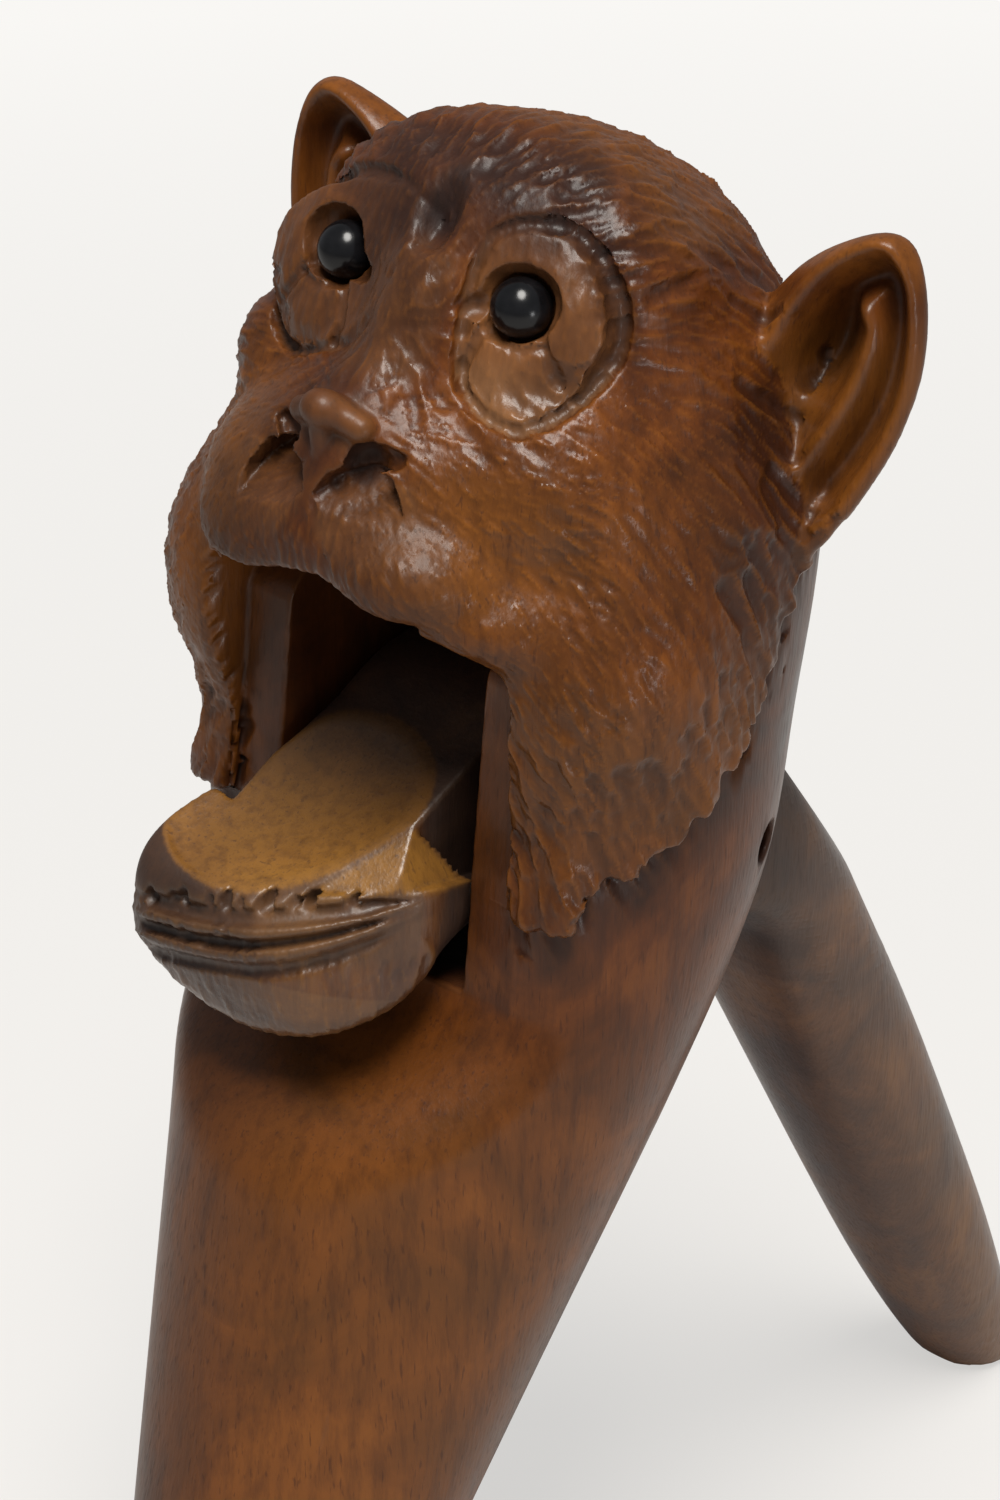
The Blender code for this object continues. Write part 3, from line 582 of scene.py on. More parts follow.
def eye_parts(block, side):
    """The ring, the bag under the eye and the almond hollow that holds the bead."""
    axes, outline, centre = ring_axes(side), ring_outline(side), np.array(RING_CENTRES[side])

    def disc(x, y, z):
        a, b, n = in_axes(axes, centre, x, y, z)
        front = n - RING_FACE
        for lean, start, slope in RING_FACETS:
            out = a * math.cos(math.radians(lean)) + b * math.sin(math.radians(lean)) - start
            front = np.maximum(front, (n - RING_FACE + slope * out) * 0.93)
        return meet(outline_reach(a, b, outline), np.maximum(front, -7 - n), 0.5)

    def ring_gap(x, y, z):
        a, b, n = in_axes(axes, centre, x, y, z)
        gap = np.abs(outline_reach(a, b, outline) - 0.4)
        return gap + OUT_OF_REACH * (n < RING_BACK) + 0.6 * ease(-a, 5.5, 7.5)

    def crease_gap(path):
        def gap(x, y, z):
            a, b, n = in_axes(axes, centre, x, y, z)
            return path_reach(a, b, path)[0] + OUT_OF_REACH * (n < RING_BACK)
        return gap

    low, high = centre - 14, centre + 14
    block.add((disc, low, high), 0.5)
    block.score(ring_gap, 0.6, low, high, 0.5)
    across, up, facing = axes
    almond = np.array(eye_middle(side)) + facing * 1.9 + up * 0.5
    lid = own_axes(facing, up * math.cos(LID_TURN) + across * math.sin(LID_TURN))
    block.carve(ball(almond, (4.2, 3.6, 3), lid), 0.4)
    block.carve(ball(almond - across * 3.4 - up, (2.8, 1.3, 2.2), lid), 0.4)
    block.add(ball(centre - up * 4.9 - facing * 0.7 - across * 0.2, (4.2, 3.7, 1.5), axes), 0.3)
    for path, radius in BAG_CREASES:
        block.score(crease_gap(path), radius, low, high, 0.25)


def nose_cut(side):
    """What the flat cut takes away: the wood in front of a plane, within an outline seen from the front."""
    facing = np.array(NOSE_CUT_FACING) / np.linalg.norm(NOSE_CUT_FACING)
    outline = np.array(NOSE_CUT_OUTLINE)
    px, py, pz = NOSE_CUT_POINT

    def taken(x, y, z):
        gap = (side * x - px) * facing[0] + (y - py) * facing[1] + (z - pz) * facing[2]
        return np.maximum(-gap, outline_reach(side * x + 0 * y, z + 0 * y, outline))
    low, high = outline.min(0), outline.max(0)
    near, far = sorted((side * low[0], side * high[0]))
    return taken, (near, -56, low[1]), (far, -34, high[1])


def nose_parts(block):
    """Small and flat: a tip between two wings, a divider, and a nostril and a chisel cut on each side."""
    for side in (1, -1):
        block.carve(nose_cut(side), 0.2)
    block.add(ball((0, -45.7, 42.3), (2.2, 2, 1.9)), 1.2)
    for side in (1, -1):
        block.add(rod((side * 0.8, -45, 42.2), (side * 3.7, -44.2, 41.2), 1.35, 1.3), 0.8)
        block.carve(rod((side * 2.2, -44.6, 35.6), (side * 4.4, -43.4, 38.4), 0.9, 1.8), 0.2)
        block.carve(rod((side * 4.4, -43.6, 38.4), (side * 7.4, -42.8, 39.2), 1.7, 0.8), 0.4)
    block.add(rod((0, -45.7, 41.4), (-0.1, -44.3, 33.6), 1.25, 0.4), 0.3)


def whole_head():
    block = Block(levels(-41, -40.5, 40.5, 41), levels(-52, -51, 14, 18),
                  levels(-124, -20, 70, 72))
    x, y, z = block.part(*EVERYWHERE)[1:]
    trunk = grip_shape(x, y, z).astype(np.float32)
    block.wood[:] = trunk - FUR_STANDS
    for middle, radii, blend in HEAD_LUMPS:
        block.add(ball(middle, radii), blend)
    block.add(rod((0.8, -34.5, 48), (0, -38.6, 41.4), 4.4, 5), 3)
    block.carve(ball((1.4, -36, 61), (2.2, 3, 4)), 1.5)
    block.wood = meet(block.wood, fur_side(y, z).astype(np.float32), 0.5)
    for side in (1, -1):
        eye_parts(block, side)
    nose_parts(block)
    for side in (1, -1):
        block.add(ear_shape(side), 1.6)
    block.wood = join(block.wood, trunk, 0.3)
    block.carve((mouth_hollow, (-22, -60, -14.5), (22, -25, 28)), 0.5)
    block.carve((slot_hollow, (-SLOT_HALF_WIDTH, -60, -43), (SLOT_HALF_WIDTH, 40, 25)), 0.3)
    block.carve(pin_hole(45), 0.4)
    for side in (1, -1):
        side_on, back, up = eye_middle(side)
        block.carve(ball((side_on, back, up), (EYE_RADIUS + EYE_PLAY,) * 3))
        block.carve(rod((side_on, back, up), (side_on, back + WIRE_LONG, up), WIRE_RADIUS, WIRE_RADIUS))
    block.stand()
    return block.skin()


# Kinds of stroke on the head: the gap between them, their length, width and depth, how far they wander and
# how much of the length their steep end takes
MANE = (2.2, 5.4, 1.25, 0.68, 0.10, 0.35)
COAT = (2, 5, 0.95, 0.30, 0.08, 0.5)
MUZZLE_HAIR = (0.95, 2.4, 0.46, 0.27, 0.16, 0.5)
FINE_HAIR = (1.2, 2.2, 0.42, 0.13, 0.14, 0.5)
RING_LINES = (0.8, 1.7, 0.46, 0.17, 0.25, 0.6)
RING_CUTS = (1.5, 2.4, 0.75, 0.24, 0.2, 0.3)
NOSE_LINES = (0.8, 1.5, 0.46, 0.15, 0.3, 0.6)

# How far the fur stands proud before it is cut, so that the cuts bring it back to its place
MANE_PROUD, COAT_PROUD, MUZZLE_PROUD = 0.62, 0.30, 0.22

FUR_MIDDLE = np.array([0, -38, 50])
NOSE_MIDDLE = np.array([0, -46, 44])


def head_masks(skin):
    """Where the inside, the smooth grip, the ears and the bare parts of the face are, from 0 to 1."""
    x, y, z = skin.points.T
    inside = np.minimum(np.abs(mouth_hollow(x, y, z)), np.abs(slot_hollow(x, y, z))) < 0.5
    inside |= np.hypot(y - PIN_BACK, z - PIN_UP) < PIN_HOLE_RADIUS + 0.5
    ears, rings, beside = np.zeros((3, len(x)))
    for side in (1, -1):
        ears = np.maximum(ears, (ear_shape(side)[0](x, y, z) < 0.5) & (np.abs(x) > 20))
        a, b, c = in_axes(ring_axes(side), RING_CENTRES[side], x, y, z)
        ring = outline_reach(a, b, ring_outline(side))
        rings = np.maximum(rings, (ring < 0.8) & (np.abs(c) < 7))
        beside = np.maximum(beside, (1 - ease(ring, 1.2, 3)) * (np.abs(c) < 9))
    nose = spot(x, y, z, (0, -44, 38.5), (1.25, 1, 1 / 0.9), 5.4, 7.4)
    bridge = (1 - ease(np.abs(x), 4, 6.5)) * between(z, 44, 47, 56, 58.5) * (y < -30)
    facet = spot(np.abs(x), y, z, (6.2, -45, 33.5), (1, 1, 1), 4.5, 6) * (z < 37)
    return {"inside": inside.astype(float), "grip": ease(fur_side(y, z), -0.2, 0.3), "ears": ears,
            "rings": rings, "nose": nose, "bridge": bridge, "facet": facet, "beside": beside}


def fur_way(points):
    """The way the fur lies: out from between the eyes, over the crown and cheeks, and down at the back."""
    down = ease(points[:, 1], -22, 6)[:, None]
    way = unit(points - FUR_MIDDLE) + np.array([0, 0.15, -1]) * down * 1.3
    low = ease(-points[:, 2], -30, -5)[:, None]
    return way + np.array([0, 0.5, -0.5]) * low * 0.5


def cut_head(skin, masks):
    """All the strokes on the head, from the broad ones of the mane to the fine hair round the mouth."""
    x, y, z = skin.points.T
    fur = (1 - masks["inside"]) * (1 - masks["grip"]) * (1 - masks["ears"]) * (1 - masks["rings"])
    fur = fur * (1 - masks["nose"]) * (1 - masks["bridge"])
    muzzle = ease(-y, 30, 36) * (1 - ease(z, 40, 47))
    fur_edge = 1 - ease(-fur_side(y, z), 4, 10)
    crown = ease(z, 55, 61) * ease(y, -31, -26)
    back_of_head = ease(y, -16, -6)
    forehead = ease(z, 57, 59.5) * (1 - ease(y, -30, -26))
    bold = np.maximum(np.maximum(fur_edge, crown), back_of_head) - muzzle - forehead
    bold = np.clip(bold, 0, 1) * fur * (1 - masks["beside"])
    soft = fur * (1 - bold) * (1 - muzzle) * (1 - forehead)
    way = fur_way(skin.points)
    cuts = skin.strokes(bold, way, MANE, vary=0.25)
    cuts = np.maximum(cuts, skin.strokes(soft, way, COAT, vary=0.25))
    proud = MANE_PROUD * bold + COAT_PROUD * soft + MUZZLE_PROUD * fur * np.maximum(muzzle, forehead)
    skin.sink(cuts - skin.spread(proud, 6))
    way = fur_way(skin.points)
    from_nose = np.where((z < 47)[:, None], skin.points - NOSE_MIDDLE, way)
    fine = np.maximum(muzzle * fur, forehead * fur)
    outside = 1 - masks["inside"]
    hair = np.zeros(len(x))
    for weight, lie, kind in (
            (fine, from_nose, MUZZLE_HAIR), (fur * (1 - fine) * 0.8, way, FINE_HAIR),
            (np.maximum(masks["rings"], masks["bridge"]) * outside, (0, 0, -1), RING_LINES),
            (masks["rings"] * outside, (0.1, 0, -1), RING_CUTS),
            (masks["facet"], (0.35, -0.4, -1), NOSE_LINES)):
        hair = np.maximum(hair, skin.strokes(weight, lie, kind))
    skin.sink(hair)


def paint_head(skin, masks):
    """Where the wood is darker from stain and painted shade, honey-coloured, and paler from wear and painted
    sheen.
    """
    x, y, z = skin.points.T
    out = np.abs(x)
    even = (1, 1, 1)
    low_forehead = between(z, 55, 60, 64, 70) * (1 - ease(out, 10, 20)) * (y < -22)
    right_of_muzzle = ease(-y, 36, 42) * ease(-x, -6, 6) * (1 - ease(z, 48, 54))
    crease = spot(x, y, z, (1.4, 0, 61.2), (2.2, np.inf, 3.4), 0.7, 1.4) * (y < -25)
    nostril = spot(out, y, z, (3.8, -43.2, 38), (2, 1.8, 2.2), 0.8, 1.3)
    bulge = spot(out, y, z, (10, -44, 29.5), even, 4, 8)
    # darker stain on the nose, the bulge of the lip and the low forehead, darker also on the right of the
    # muzzle; painted shade deep inside the mouth and the slot, in the brow crease and in the nostrils
    dark = (0.45 * bulge + 0.28 * masks["nose"] + 0.55 * low_forehead + 0.35 * right_of_muzzle
            + 0.9 * masks["inside"] * ease(y, -33, -26) + 0.5 * crease + 0.8 * nostril)
    dark = np.clip(dark, 0, 1)
    cheek = np.exp(-((out - 16) / 9) ** 2 - ((z - 33) / 9) ** 2) * (y < -18)
    ruff = np.exp(-((z - 12) / 12) ** 2) * ease(out, 14, 22) * (1 - masks["grip"])
    ear_front = masks["ears"] * ease(-z, -60, -50)
    crown = ease(z, 58, 62) * ease(y, -28, -20)
    low_grip = masks["grip"] * ease(-z, 0, 40)
    honey = 0.35 * crown + 0.8 * cheek + 0.6 * ruff + 0.4 * ear_front + 0.35 * low_grip
    wings = spot(out, y, z, (2.6, -46, 42), even, 2.5, 4)
    # pale: painted highlight and sheen, with some rubbed wear, on the rings and the bags under the eyes
    # (more on the monkey's left and lower down), on the chisel cuts under the nose, the wings of the nose
    # and the bridge
    bag = masks["rings"] * ((x > 0) * (0.55 + 0.45 * ease(-z, -50, -46)) + (x < 0) * 0.4)
    pale = np.maximum(np.maximum(bag, 0.5 * masks["facet"]), 0.5 * np.maximum(wings, masks["bridge"]))
    return dark, np.clip(honey, 0, 1), np.clip(pale, 0, 1) * (1 - dark)


# From skin to object

# How deep a cut, how proud an edge and how deep a hollow must be for the full painted shade in cuts, the
# full worn light on edges and the full painted shade in hollows
STROKE_DEEP, EDGE_STANDS, HOLLOW_DEEP = 0.6, 0.12, 0.9


def add_object(name, data):
    thing = bpy.data.objects.new(name, data)
    bpy.context.scene.collection.objects.link(thing)
    return thing


def finish_skin(skin, name, slot, dark, honey, polish_and_sheen):
    """Turns the skin into an object with no more faces than it needs, and with what its material reads."""
    mesh = bpy.data.meshes.new(name)
    mesh.vertices.add(len(skin.points))
    placed = skin.points @ np.array(TO_ROOM.to_3x3()).T + np.array(TO_ROOM.translation)
    mesh.vertices.foreach_set("co", placed.astype(np.float32).ravel())
    mesh.loops.add(len(skin.faces) * 3)
    mesh.loops.foreach_set("vertex_index", skin.faces.astype(np.int32).ravel())
    mesh.polygons.add(len(skin.faces))
    mesh.polygons.foreach_set("loop_start", np.arange(0, len(skin.faces) * 3, 3, dtype=np.int32))
    mesh.update(calc_edges=True)
    mesh.validate()
    # the stroke and hollow values carry painted shade into cuts and hollows, the edge value worn light onto
    # edges, the dark value darker stain and painted shade, and the polish value painted sheen with rubbed
    # wear
    values = {"stroke": np.clip(skin.depth / STROKE_DEEP, 0, 1),
              "edge": np.clip(skin.relief(3) / EDGE_STANDS, -1, 1),
              "hollow": np.clip(-skin.relief(24) / HOLLOW_DEEP, 0, 1),
              "dark": dark, "honey": honey, "polish_and_sheen": polish_and_sheen}
    for key, value in values.items():
        mesh.attributes.new(key, "FLOAT", "POINT").data.foreach_set("value", value.astype(np.float32))
    thing = add_object(name, mesh)
    if len(skin.faces) > FACES_AT_MOST:
        thing.modifiers.new("fewer_faces", "DECIMATE").ratio = FACES_AT_MOST / len(skin.faces)
        graph = bpy.context.evaluated_depsgraph_get()
        kept = bpy.data.meshes.new_from_object(thing.evaluated_get(graph))
        thing.modifiers.clear()
        thing.data = kept
    thing.data.shade_smooth()
    return thing


# Jaw and lever

# Rings along the lever: back and up of its top and of its underside, half its width, and how square it is
# above and below
JAW_ROWS = [
    (-47, -9, -46.4, -13.4, 7.6, 2.4, 2), (-46.2, -6.6, -45, -17.2, 13, 4, 1.8),
    (-43.4, -4.4, -42.4, -20.8, 15.4, 8, 1.7), (-38.2, -0.2, -37, -19, 15, 9, 2),
    (-33.2, 3.8, -31.2, -13, 12.7, 8, 3), (-27, 8.5, -24.6, -9.6, 11.9, 7, 4),
    (-19.9, 14, -16, -10, 11.9, 7, 4.5), (-8, 17, -5.9, -10.4, 11.9, 6, 5), (6, 13.6, 4, -12, 11.9, 4.6, 5),
    (16.4, 6.4, 11.8, -15.5, 11.9, 3.4, 4.5), (36, -10.4, 24.2, -19.7, 11.2, 2.7, 3.4),
    (43.8, -18.3, 31.5, -28.3, 10.8, 2.6, 3), (58.5, -35.3, 45.9, -45.7, 10.3, 2.6, 2.6),
    (72.6, -53, 60.6, -62.9, 9.8, 2.5, 2.5), (83.1, -66.7, 72, -75.9, 9.3, 2.4, 2.4),
    (90.9, -77.6, 81.2, -85.6, 8.2, 2.4, 2.4), (96, -85.5, 88, -92.1, 7, 2.3, 2.3),
    (100, -92.5, 94.1, -97.3, 5.4, 2.2, 2.2)]
RING_POINTS = 72
JAW_CLOSES = math.radians(40)
CLOSED_GAP = 0.4
NECK_HALF_WIDTH = 12.5
SEAT_SLOPE = math.radians(38)
SEAT_MIDDLE = (-4.6, -36.8, 1.3)
SEAT_TURN = math.radians(34)
SEAT_RADII = (13.6, 11.5)
SEAT_DEPTH = 2
WING_POINT = (8.4, -34.5, 2.6)
WING_FACINGS = [(0.243, -0.736, 0.632), (0.887, -0.095, 0.453)]
TOP_TILT = 0.06

# The front of the lip, seen from above: across and back
JAW_FRONT = [
    (-20, -56), (0, -48.5), (2, -46.6), (4, -45), (6, -43.4), (8, -41.6), (10, -39.4), (12, -36.6),
    (13.5, -33.5)]
LIP_BACK = -36

# Lines along the lower lip from its right corner to its left one, seen from the front: across and up
LIP_EDGE = [(-16.2, -8.8), (-13.5, -9.3), (-6, -7.4), (-1, -6.3), (4, -4.8), (8.6, -3.6), (12.8, -2.6)]
UPPER_RIDGE = [
    (-16, -12.4), (-9.3, -11.1), (-3.6, -10.1), (0.8, -9), (5.5, -7.4), (8.8, -5.8), (12.2, -3.9)]
LOWER_RIDGE = [
    (-15.8, -14.8), (-12.8, -14), (-4.9, -12.9), (1.6, -11.2), (6, -9.2), (9.7, -6.9), (12.9, -4.2)]
LIP_GROOVE = [(-16, -10.4), (-10, -9.8), (-4, -8.8), (1, -7.5), (5.5, -6.1), (9, -4.8), (12.4, -3.3)]
RIDGE_GROOVE = [
    (-15.8, -13.6), (-11, -12.6), (-4.2, -11.5), (1.2, -10.1), (5.8, -8.3), (9.3, -6.4), (12.4, -4.2)]
CHIN_CREASE = [
    (-15.6, -16.6), (-10, -15.4), (-4.7, -14.3), (1.8, -12.8), (6.7, -10.4), (10.5, -7.4), (13, -5)]

# Notches in the edge of the lip: how far across, and how big
LIP_NOTCHES = [
    (-12.6, 0.6), (-9.6, 0.5), (-8.4, 0.7), (-5.2, 0.5), (-3.6, 0.8), (-1.9, 0.45), (0.4, 0.85), (2.9, 0.5),
    (4, 0.7), (7.4, 0.5)]

CHIN_HAIR = (1, 2.4, 0.5, 0.2, 0.15, 0.4)


def hand_cut(points):
    """Sets the jaw a little to one side and askew, as the carver left it."""
    x, y, z = points.T
    share = ease(-y, 30, 43)
    return np.stack([x - 1.2 * share, y + 0.12 * x * share, z + 0.06 * x * share], axis=1)


def lever_rings():
    """Closed rings along the lever, from the lip to the foot."""
    rings = []
    angles = np.arange(RING_POINTS) * 2 * math.pi / RING_POINTS
    c, s = np.cos(angles), np.sin(angles)
    for top_y, top_z, low_y, low_z, half_width, above, below in smooth_line(JAW_ROWS, 8):
        power = np.where(s >= 0, 2 / above, 2 / below)
        across = np.sign(c) * np.abs(c) ** power * half_width
        share = np.sign(s) * np.abs(s) ** power
        tilt = TOP_TILT * across * ease(-top_y, 34, 42) * np.maximum(share, 0)
        rings.append(hand_cut(np.stack([across, (top_y + low_y) / 2 + share * (top_y - low_y) / 2,
                                        (top_z + low_z) / 2 + share * (top_z - low_z) / 2 - tilt], axis=1)))
    return rings


def lever_block():
    """The plain lever, skinned over its rings."""
    block = Block(levels(-19, -18.5, 18.5, 19), levels(-51, -50.5, -18, 104),
                  levels(-102, -26, 22, 24))
    rings = lever_rings()
    points = np.vstack(rings)
    inner = np.stack([np.interp(points[:, i], values, np.arange(len(values)))
                      for i, values in enumerate(block.levels)], axis=1)
    ends = np.stack([inner[:RING_POINTS].mean(0), inner[-RING_POINTS:].mean(0)])
    here = np.arange(len(points)).reshape(-1, RING_POINTS)
    after = np.roll(here, -1, axis=1)
    tip = np.full(RING_POINTS, len(points))
    sides = [np.stack([here[:-1], after[:-1], after[1:]], axis=-1),
             np.stack([here[:-1], after[1:], here[1:]], axis=-1)]
    caps = [np.stack([after[0], here[0], tip], axis=1), np.stack([here[-1], after[-1], tip + 1], axis=1)]
    faces = np.vstack([np.stack(sides, axis=1).reshape(-1, 3), *caps])
    solid = openvdb.FloatGrid.createLevelSetFromPolygons(
        np.vstack([inner, ends]).astype(np.float32), triangles=faces.astype(np.uint32),
        transform=openvdb.createLinearTransform(1.0), halfWidth=8.0)
    steps = np.full(block.wood.shape, FAR, np.float32)
    solid.copyToArray(steps)
    block.wood = steps * FINE_STEP
    return block


def jaw_seat(x, y, z):
    """The round dish that holds the nut."""
    slope_axes = ((1, 0, 0), (0, math.cos(SEAT_SLOPE), math.sin(SEAT_SLOPE)),
                  (0, -math.sin(SEAT_SLOPE), math.cos(SEAT_SLOPE)))
    a, b, c = in_axes(slope_axes, SEAT_MIDDLE, x, y, z)
    long = a * math.cos(SEAT_TURN) + b * math.sin(SEAT_TURN)
    short = b * math.cos(SEAT_TURN) - a * math.sin(SEAT_TURN)
    around = np.hypot(long / SEAT_RADII[0], short / SEAT_RADII[1])
    floor = SEAT_DEPTH * (1 - around ** 2)
    return meet(-(c + floor) * 0.95, (around - 1) * SEAT_RADII[1], 0.4)


def jaw_wings(x, y, z):
    """The flat cuts beside the seat, on the monkey's left."""
    cut = np.full(np.broadcast(x, y, z).shape, -FAR)
    out, back, up = x - WING_POINT[0], y - WING_POINT[1], z - WING_POINT[2]
    for facing in WING_FACINGS:
        cut = np.maximum(cut, out * facing[0] + back * facing[1] + up * facing[2])
    beside_seat = (out * 6.5 - back * 3.8) / 7.5
    above_lip = z - on_line(x, LIP_EDGE) - 0.2
    return meet(-np.minimum(np.minimum(cut, beside_seat), above_lip), behind_wing(x, y), 0.2)


def behind_wing(x, y):
    return (y - WING_POINT[1] - 1.58 * (x - WING_POINT[0])) * 0.53


def beside_crank(x, y, z):
    """What is cut away behind the wing, where the crank is narrower."""
    beside = np.minimum(x - WING_POINT[0] - 0.3, behind_wing(x, y))
    return -np.minimum(beside, np.minimum(z + 4, -14 - y))


def past_the_front(x, y, z):
    return (y - on_line(x, JAW_FRONT)) * 0.8


def past_the_neck(x, y, z):
    """What would run into the neck's flat face when the jaw is closed."""
    back, up = y - PIN_BACK, z - PIN_UP
    closed_back = PIN_BACK + back * math.cos(JAW_CLOSES) + up * math.sin(JAW_CLOSES)
    closed_up = PIN_UP - back * math.sin(JAW_CLOSES) + up * math.cos(JAW_CLOSES)
    return meet(mouth_plane(closed_up) - CLOSED_GAP - closed_back, NECK_HALF_WIDTH - np.abs(x), 0)


def lip_gap(line):
    """Distance to a line along the lip, which fades out towards both corners."""
    path = smooth_line(line, 4)

    def gap(x, y, z):
        ends = ease(-x, 11.5, 15) + ease(x, 8.5, 12)
        return path_reach(x, z, path)[0] + OUT_OF_REACH * (y > LIP_BACK) + 0.9 * ends
    return gap


def notch_gap(across):
    up = on_line(across, LIP_EDGE)

    def gap(x, y, z):
        return np.hypot((x - across) * 1.1, (z - up + 0.5) * 0.8) + OUT_OF_REACH * (y > LIP_BACK)
    return gap


def whole_lever():
    block = lever_block()
    block.carve((jaw_seat, (-17, -50, -14), (14, -22, 20)), 0.25)
    block.carve((jaw_wings, (-18, -50, -16), (18, -26, 14)), 0.2)
    block.carve((beside_crank, (8, -40, -5), (20, -13, 22)), 0.2)
    jaw = (-20, -51, -26), (20, -24, 12)
    lip = (-20, -51, -22), (16, -35, 2)
    block.carve((past_the_front, *jaw), 2)
    for line, radius in ((UPPER_RIDGE, 0.75), (LOWER_RIDGE, 0.8)):
        block.score(lip_gap(line), radius, *lip, 0.8, raised=True)
    for line, radius in ((LIP_GROOVE, 0.85), (RIDGE_GROOVE, 0.5), (CHIN_CREASE, 0.6)):
        block.score(lip_gap(line), radius, *lip, 0.5)
    block.carve((past_the_neck, *jaw), 0.8)
    for across, radius in LIP_NOTCHES:
        block.score(notch_gap(across), radius * 1.15, *lip, 0.15)
    block.carve(pin_hole(30), 0.3)
    block.stand()
    return block.skin()


def cut_lever(skin):
    y, z = skin.points.T[1:]
    chin = ease(-z, 10, 14) * ease(-y, 30, 36)
    skin.sink(skin.strokes(chin, (0, 0.3, -1), CHIN_HAIR))


def paint_lever(skin):
    """The bare yellowish seat and its flats, the stain and painted shade in the slot and on the seat's back,
    and painted sheen.
    """
    x, y, z = skin.points.T
    seat = skin.spread((np.abs(jaw_seat(x, y, z)) < 0.4).astype(float), 1)
    on_wing = (np.abs(jaw_wings(x, y, z)) < 0.4) & (z > -6) & (behind_wing(x, y) < -0.3)
    wings = skin.spread(on_wing.astype(float), 2)
    stained = 1 - np.maximum(seat, wings)
    honey = np.maximum(wings, seat * (0.45 + 0.3 * ease(-y, 26, 38)))
    # the wood inside the slot, darkened with painted shade as well as darker stain
    hidden = between(y, -34.5, -32.5, 20, 34) * stained
    # painted shadow where the upper rim shades the back of the seat
    seat_shadow = seat * ease(y, -36, -26)
    above_edge = z - on_line(x, LIP_EDGE)
    above = ease(above_edge, -0.8, 0.4)
    lip = above * (y < -37) * stained
    ridges = (1 - above) * ease(above_edge, -8, -6) * (y < LIP_BACK)
    dark = np.clip(0.85 * hidden + 0.6 * seat_shadow + 0.8 * lip + 0.5 * ridges, 0, 1)
    # painted sheen on the lip's ridges and on the chin
    polish_and_sheen = np.clip(0.2 * ridges + 0.3 * (y < LIP_BACK) * (z < -14), 0, 1)
    return dark, np.clip(honey, 0, 1), polish_and_sheen


# Glass

def bead(side, name):
    """A round glass bead, where the socket holds it."""
    mesh = bpy.data.meshes.new(name)
    sphere = bmesh.new()
    bmesh.ops.create_uvsphere(sphere, u_segments=48, v_segments=32, radius=EYE_RADIUS * MM)
    sphere.to_mesh(mesh)
    sphere.free()
    mesh.shade_smooth()
    thing = add_object(name, mesh)
    thing.matrix_world = Matrix.Translation(TO_ROOM @ Vector(eye_middle(side)))
    return thing


# Materials

# Tones of the wood: the near-black tone is both darker stain and painted shade; the pale tone is painted
# highlight and sheen as well as rubbed wear
HEAD_WOOD = {"Deep": (0.028, 0.008, 0.003), "Mid": (0.108, 0.028, 0.0045), "Light": (0.245, 0.084, 0.011),
             "Stain_And_Shade": (0.008, 0.005, 0.005), "Pale": (0.25, 0.125, 0.055), "Mottle Size": 60.0,
             "Grain Size": 700.0}
LEVER_WOOD = {"Deep": (0.038, 0.014, 0.007), "Mid": (0.118, 0.045, 0.015), "Light": (0.22, 0.098, 0.016),
              "Stain_And_Shade": (0.009, 0.006, 0.005), "Pale": (0.24, 0.135, 0.06), "Mottle Size": 75.0,
              "Grain Size": 800.0}
EYE_GLASS = {"One": (0.0025, 0.0025, 0.003), "Two": (0.006, 0.006, 0.007), "Size": 500.0,
             "Smooth": 0.17, "Rough": 0.24}
DARK_IRON = {"One": (0.05, 0.035, 0.025), "Two": (0.22, 0.19, 0.16), "Size": 1500.0,
             "Smooth": 0.4, "Rough": 0.6}
# Of what the wood reads, Stroke and Hollow are painted shade, Dark is darker stain and painted shade, Polish
# is painted sheen with rubbed wear, and Edge is worn light
WOOD_READS = ("Stroke", "Edge", "Hollow", "Dark", "Honey", "Polish_And_Sheen")

# The strength of the fine relief in the light, and how high it stands, in metres
WOOD_BUMP, GLASS_BUMP, IRON_BUMP = (0.35, 0.0002), (0.02, 0.00005), (0.3, 0.00005)


class Nodes:
    """A node tree, and short ways to fill it. A value is a number, a colour or another node's output."""

    def __init__(self, tree):
        self.tree = tree

    def put(self, socket, value):
        if hasattr(value, "is_output"):
            self.tree.links.new(value, socket)
        else:
            socket.default_value = value

    def new(self, kind, values=()):
        node = self.tree.nodes.new(kind)
        for key, value in dict(values).items():
            self.put(node.inputs[key], value)
        return node

    def maths(self, operation, one, two):
        node = self.new("ShaderNodeMath", {0: one, 1: two})
        node.operation = operation
        node.use_clamp = True
        return node.outputs[0]

    def mix(self, factor, one, two):
        node = self.new("ShaderNodeMix")
        node.data_type = "RGBA"
        for key, value in (("Factor_Float", factor), ("A_Color", one), ("B_Color", two)):
            self.put(next(socket for socket in node.inputs if socket.identifier == key), value)
        return next(socket for socket in node.outputs if socket.identifier == "Result_Color")

    def span(self, value, low, high, to_low=0.0, to_high=1.0):
        return self.new("ShaderNodeMapRange", {"Value": value, "From Min": low, "From Max": high,
                                               "To Min": to_low, "To Max": to_high}).outputs["Result"]

    def noise(self, place, scale, detail, rough=0.5, warp=0.0):
        return self.new("ShaderNodeTexNoise", {"Vector": place, "Scale": scale, "Detail": detail,
                                               "Roughness": rough, "Distortion": warp}).outputs["Fac"]

    def stretch(self, place, scale):
        return self.new("ShaderNodeMapping", {"Vector": place, "Scale": scale}).outputs["Vector"]

    def give(self, colour, roughness, height):
        result = self.tree.nodes.new("NodeGroupOutput").inputs
        for key, value in (("Color", colour), ("Roughness", roughness), ("Height", height)):
            self.put(result[key], value)
        return self.tree


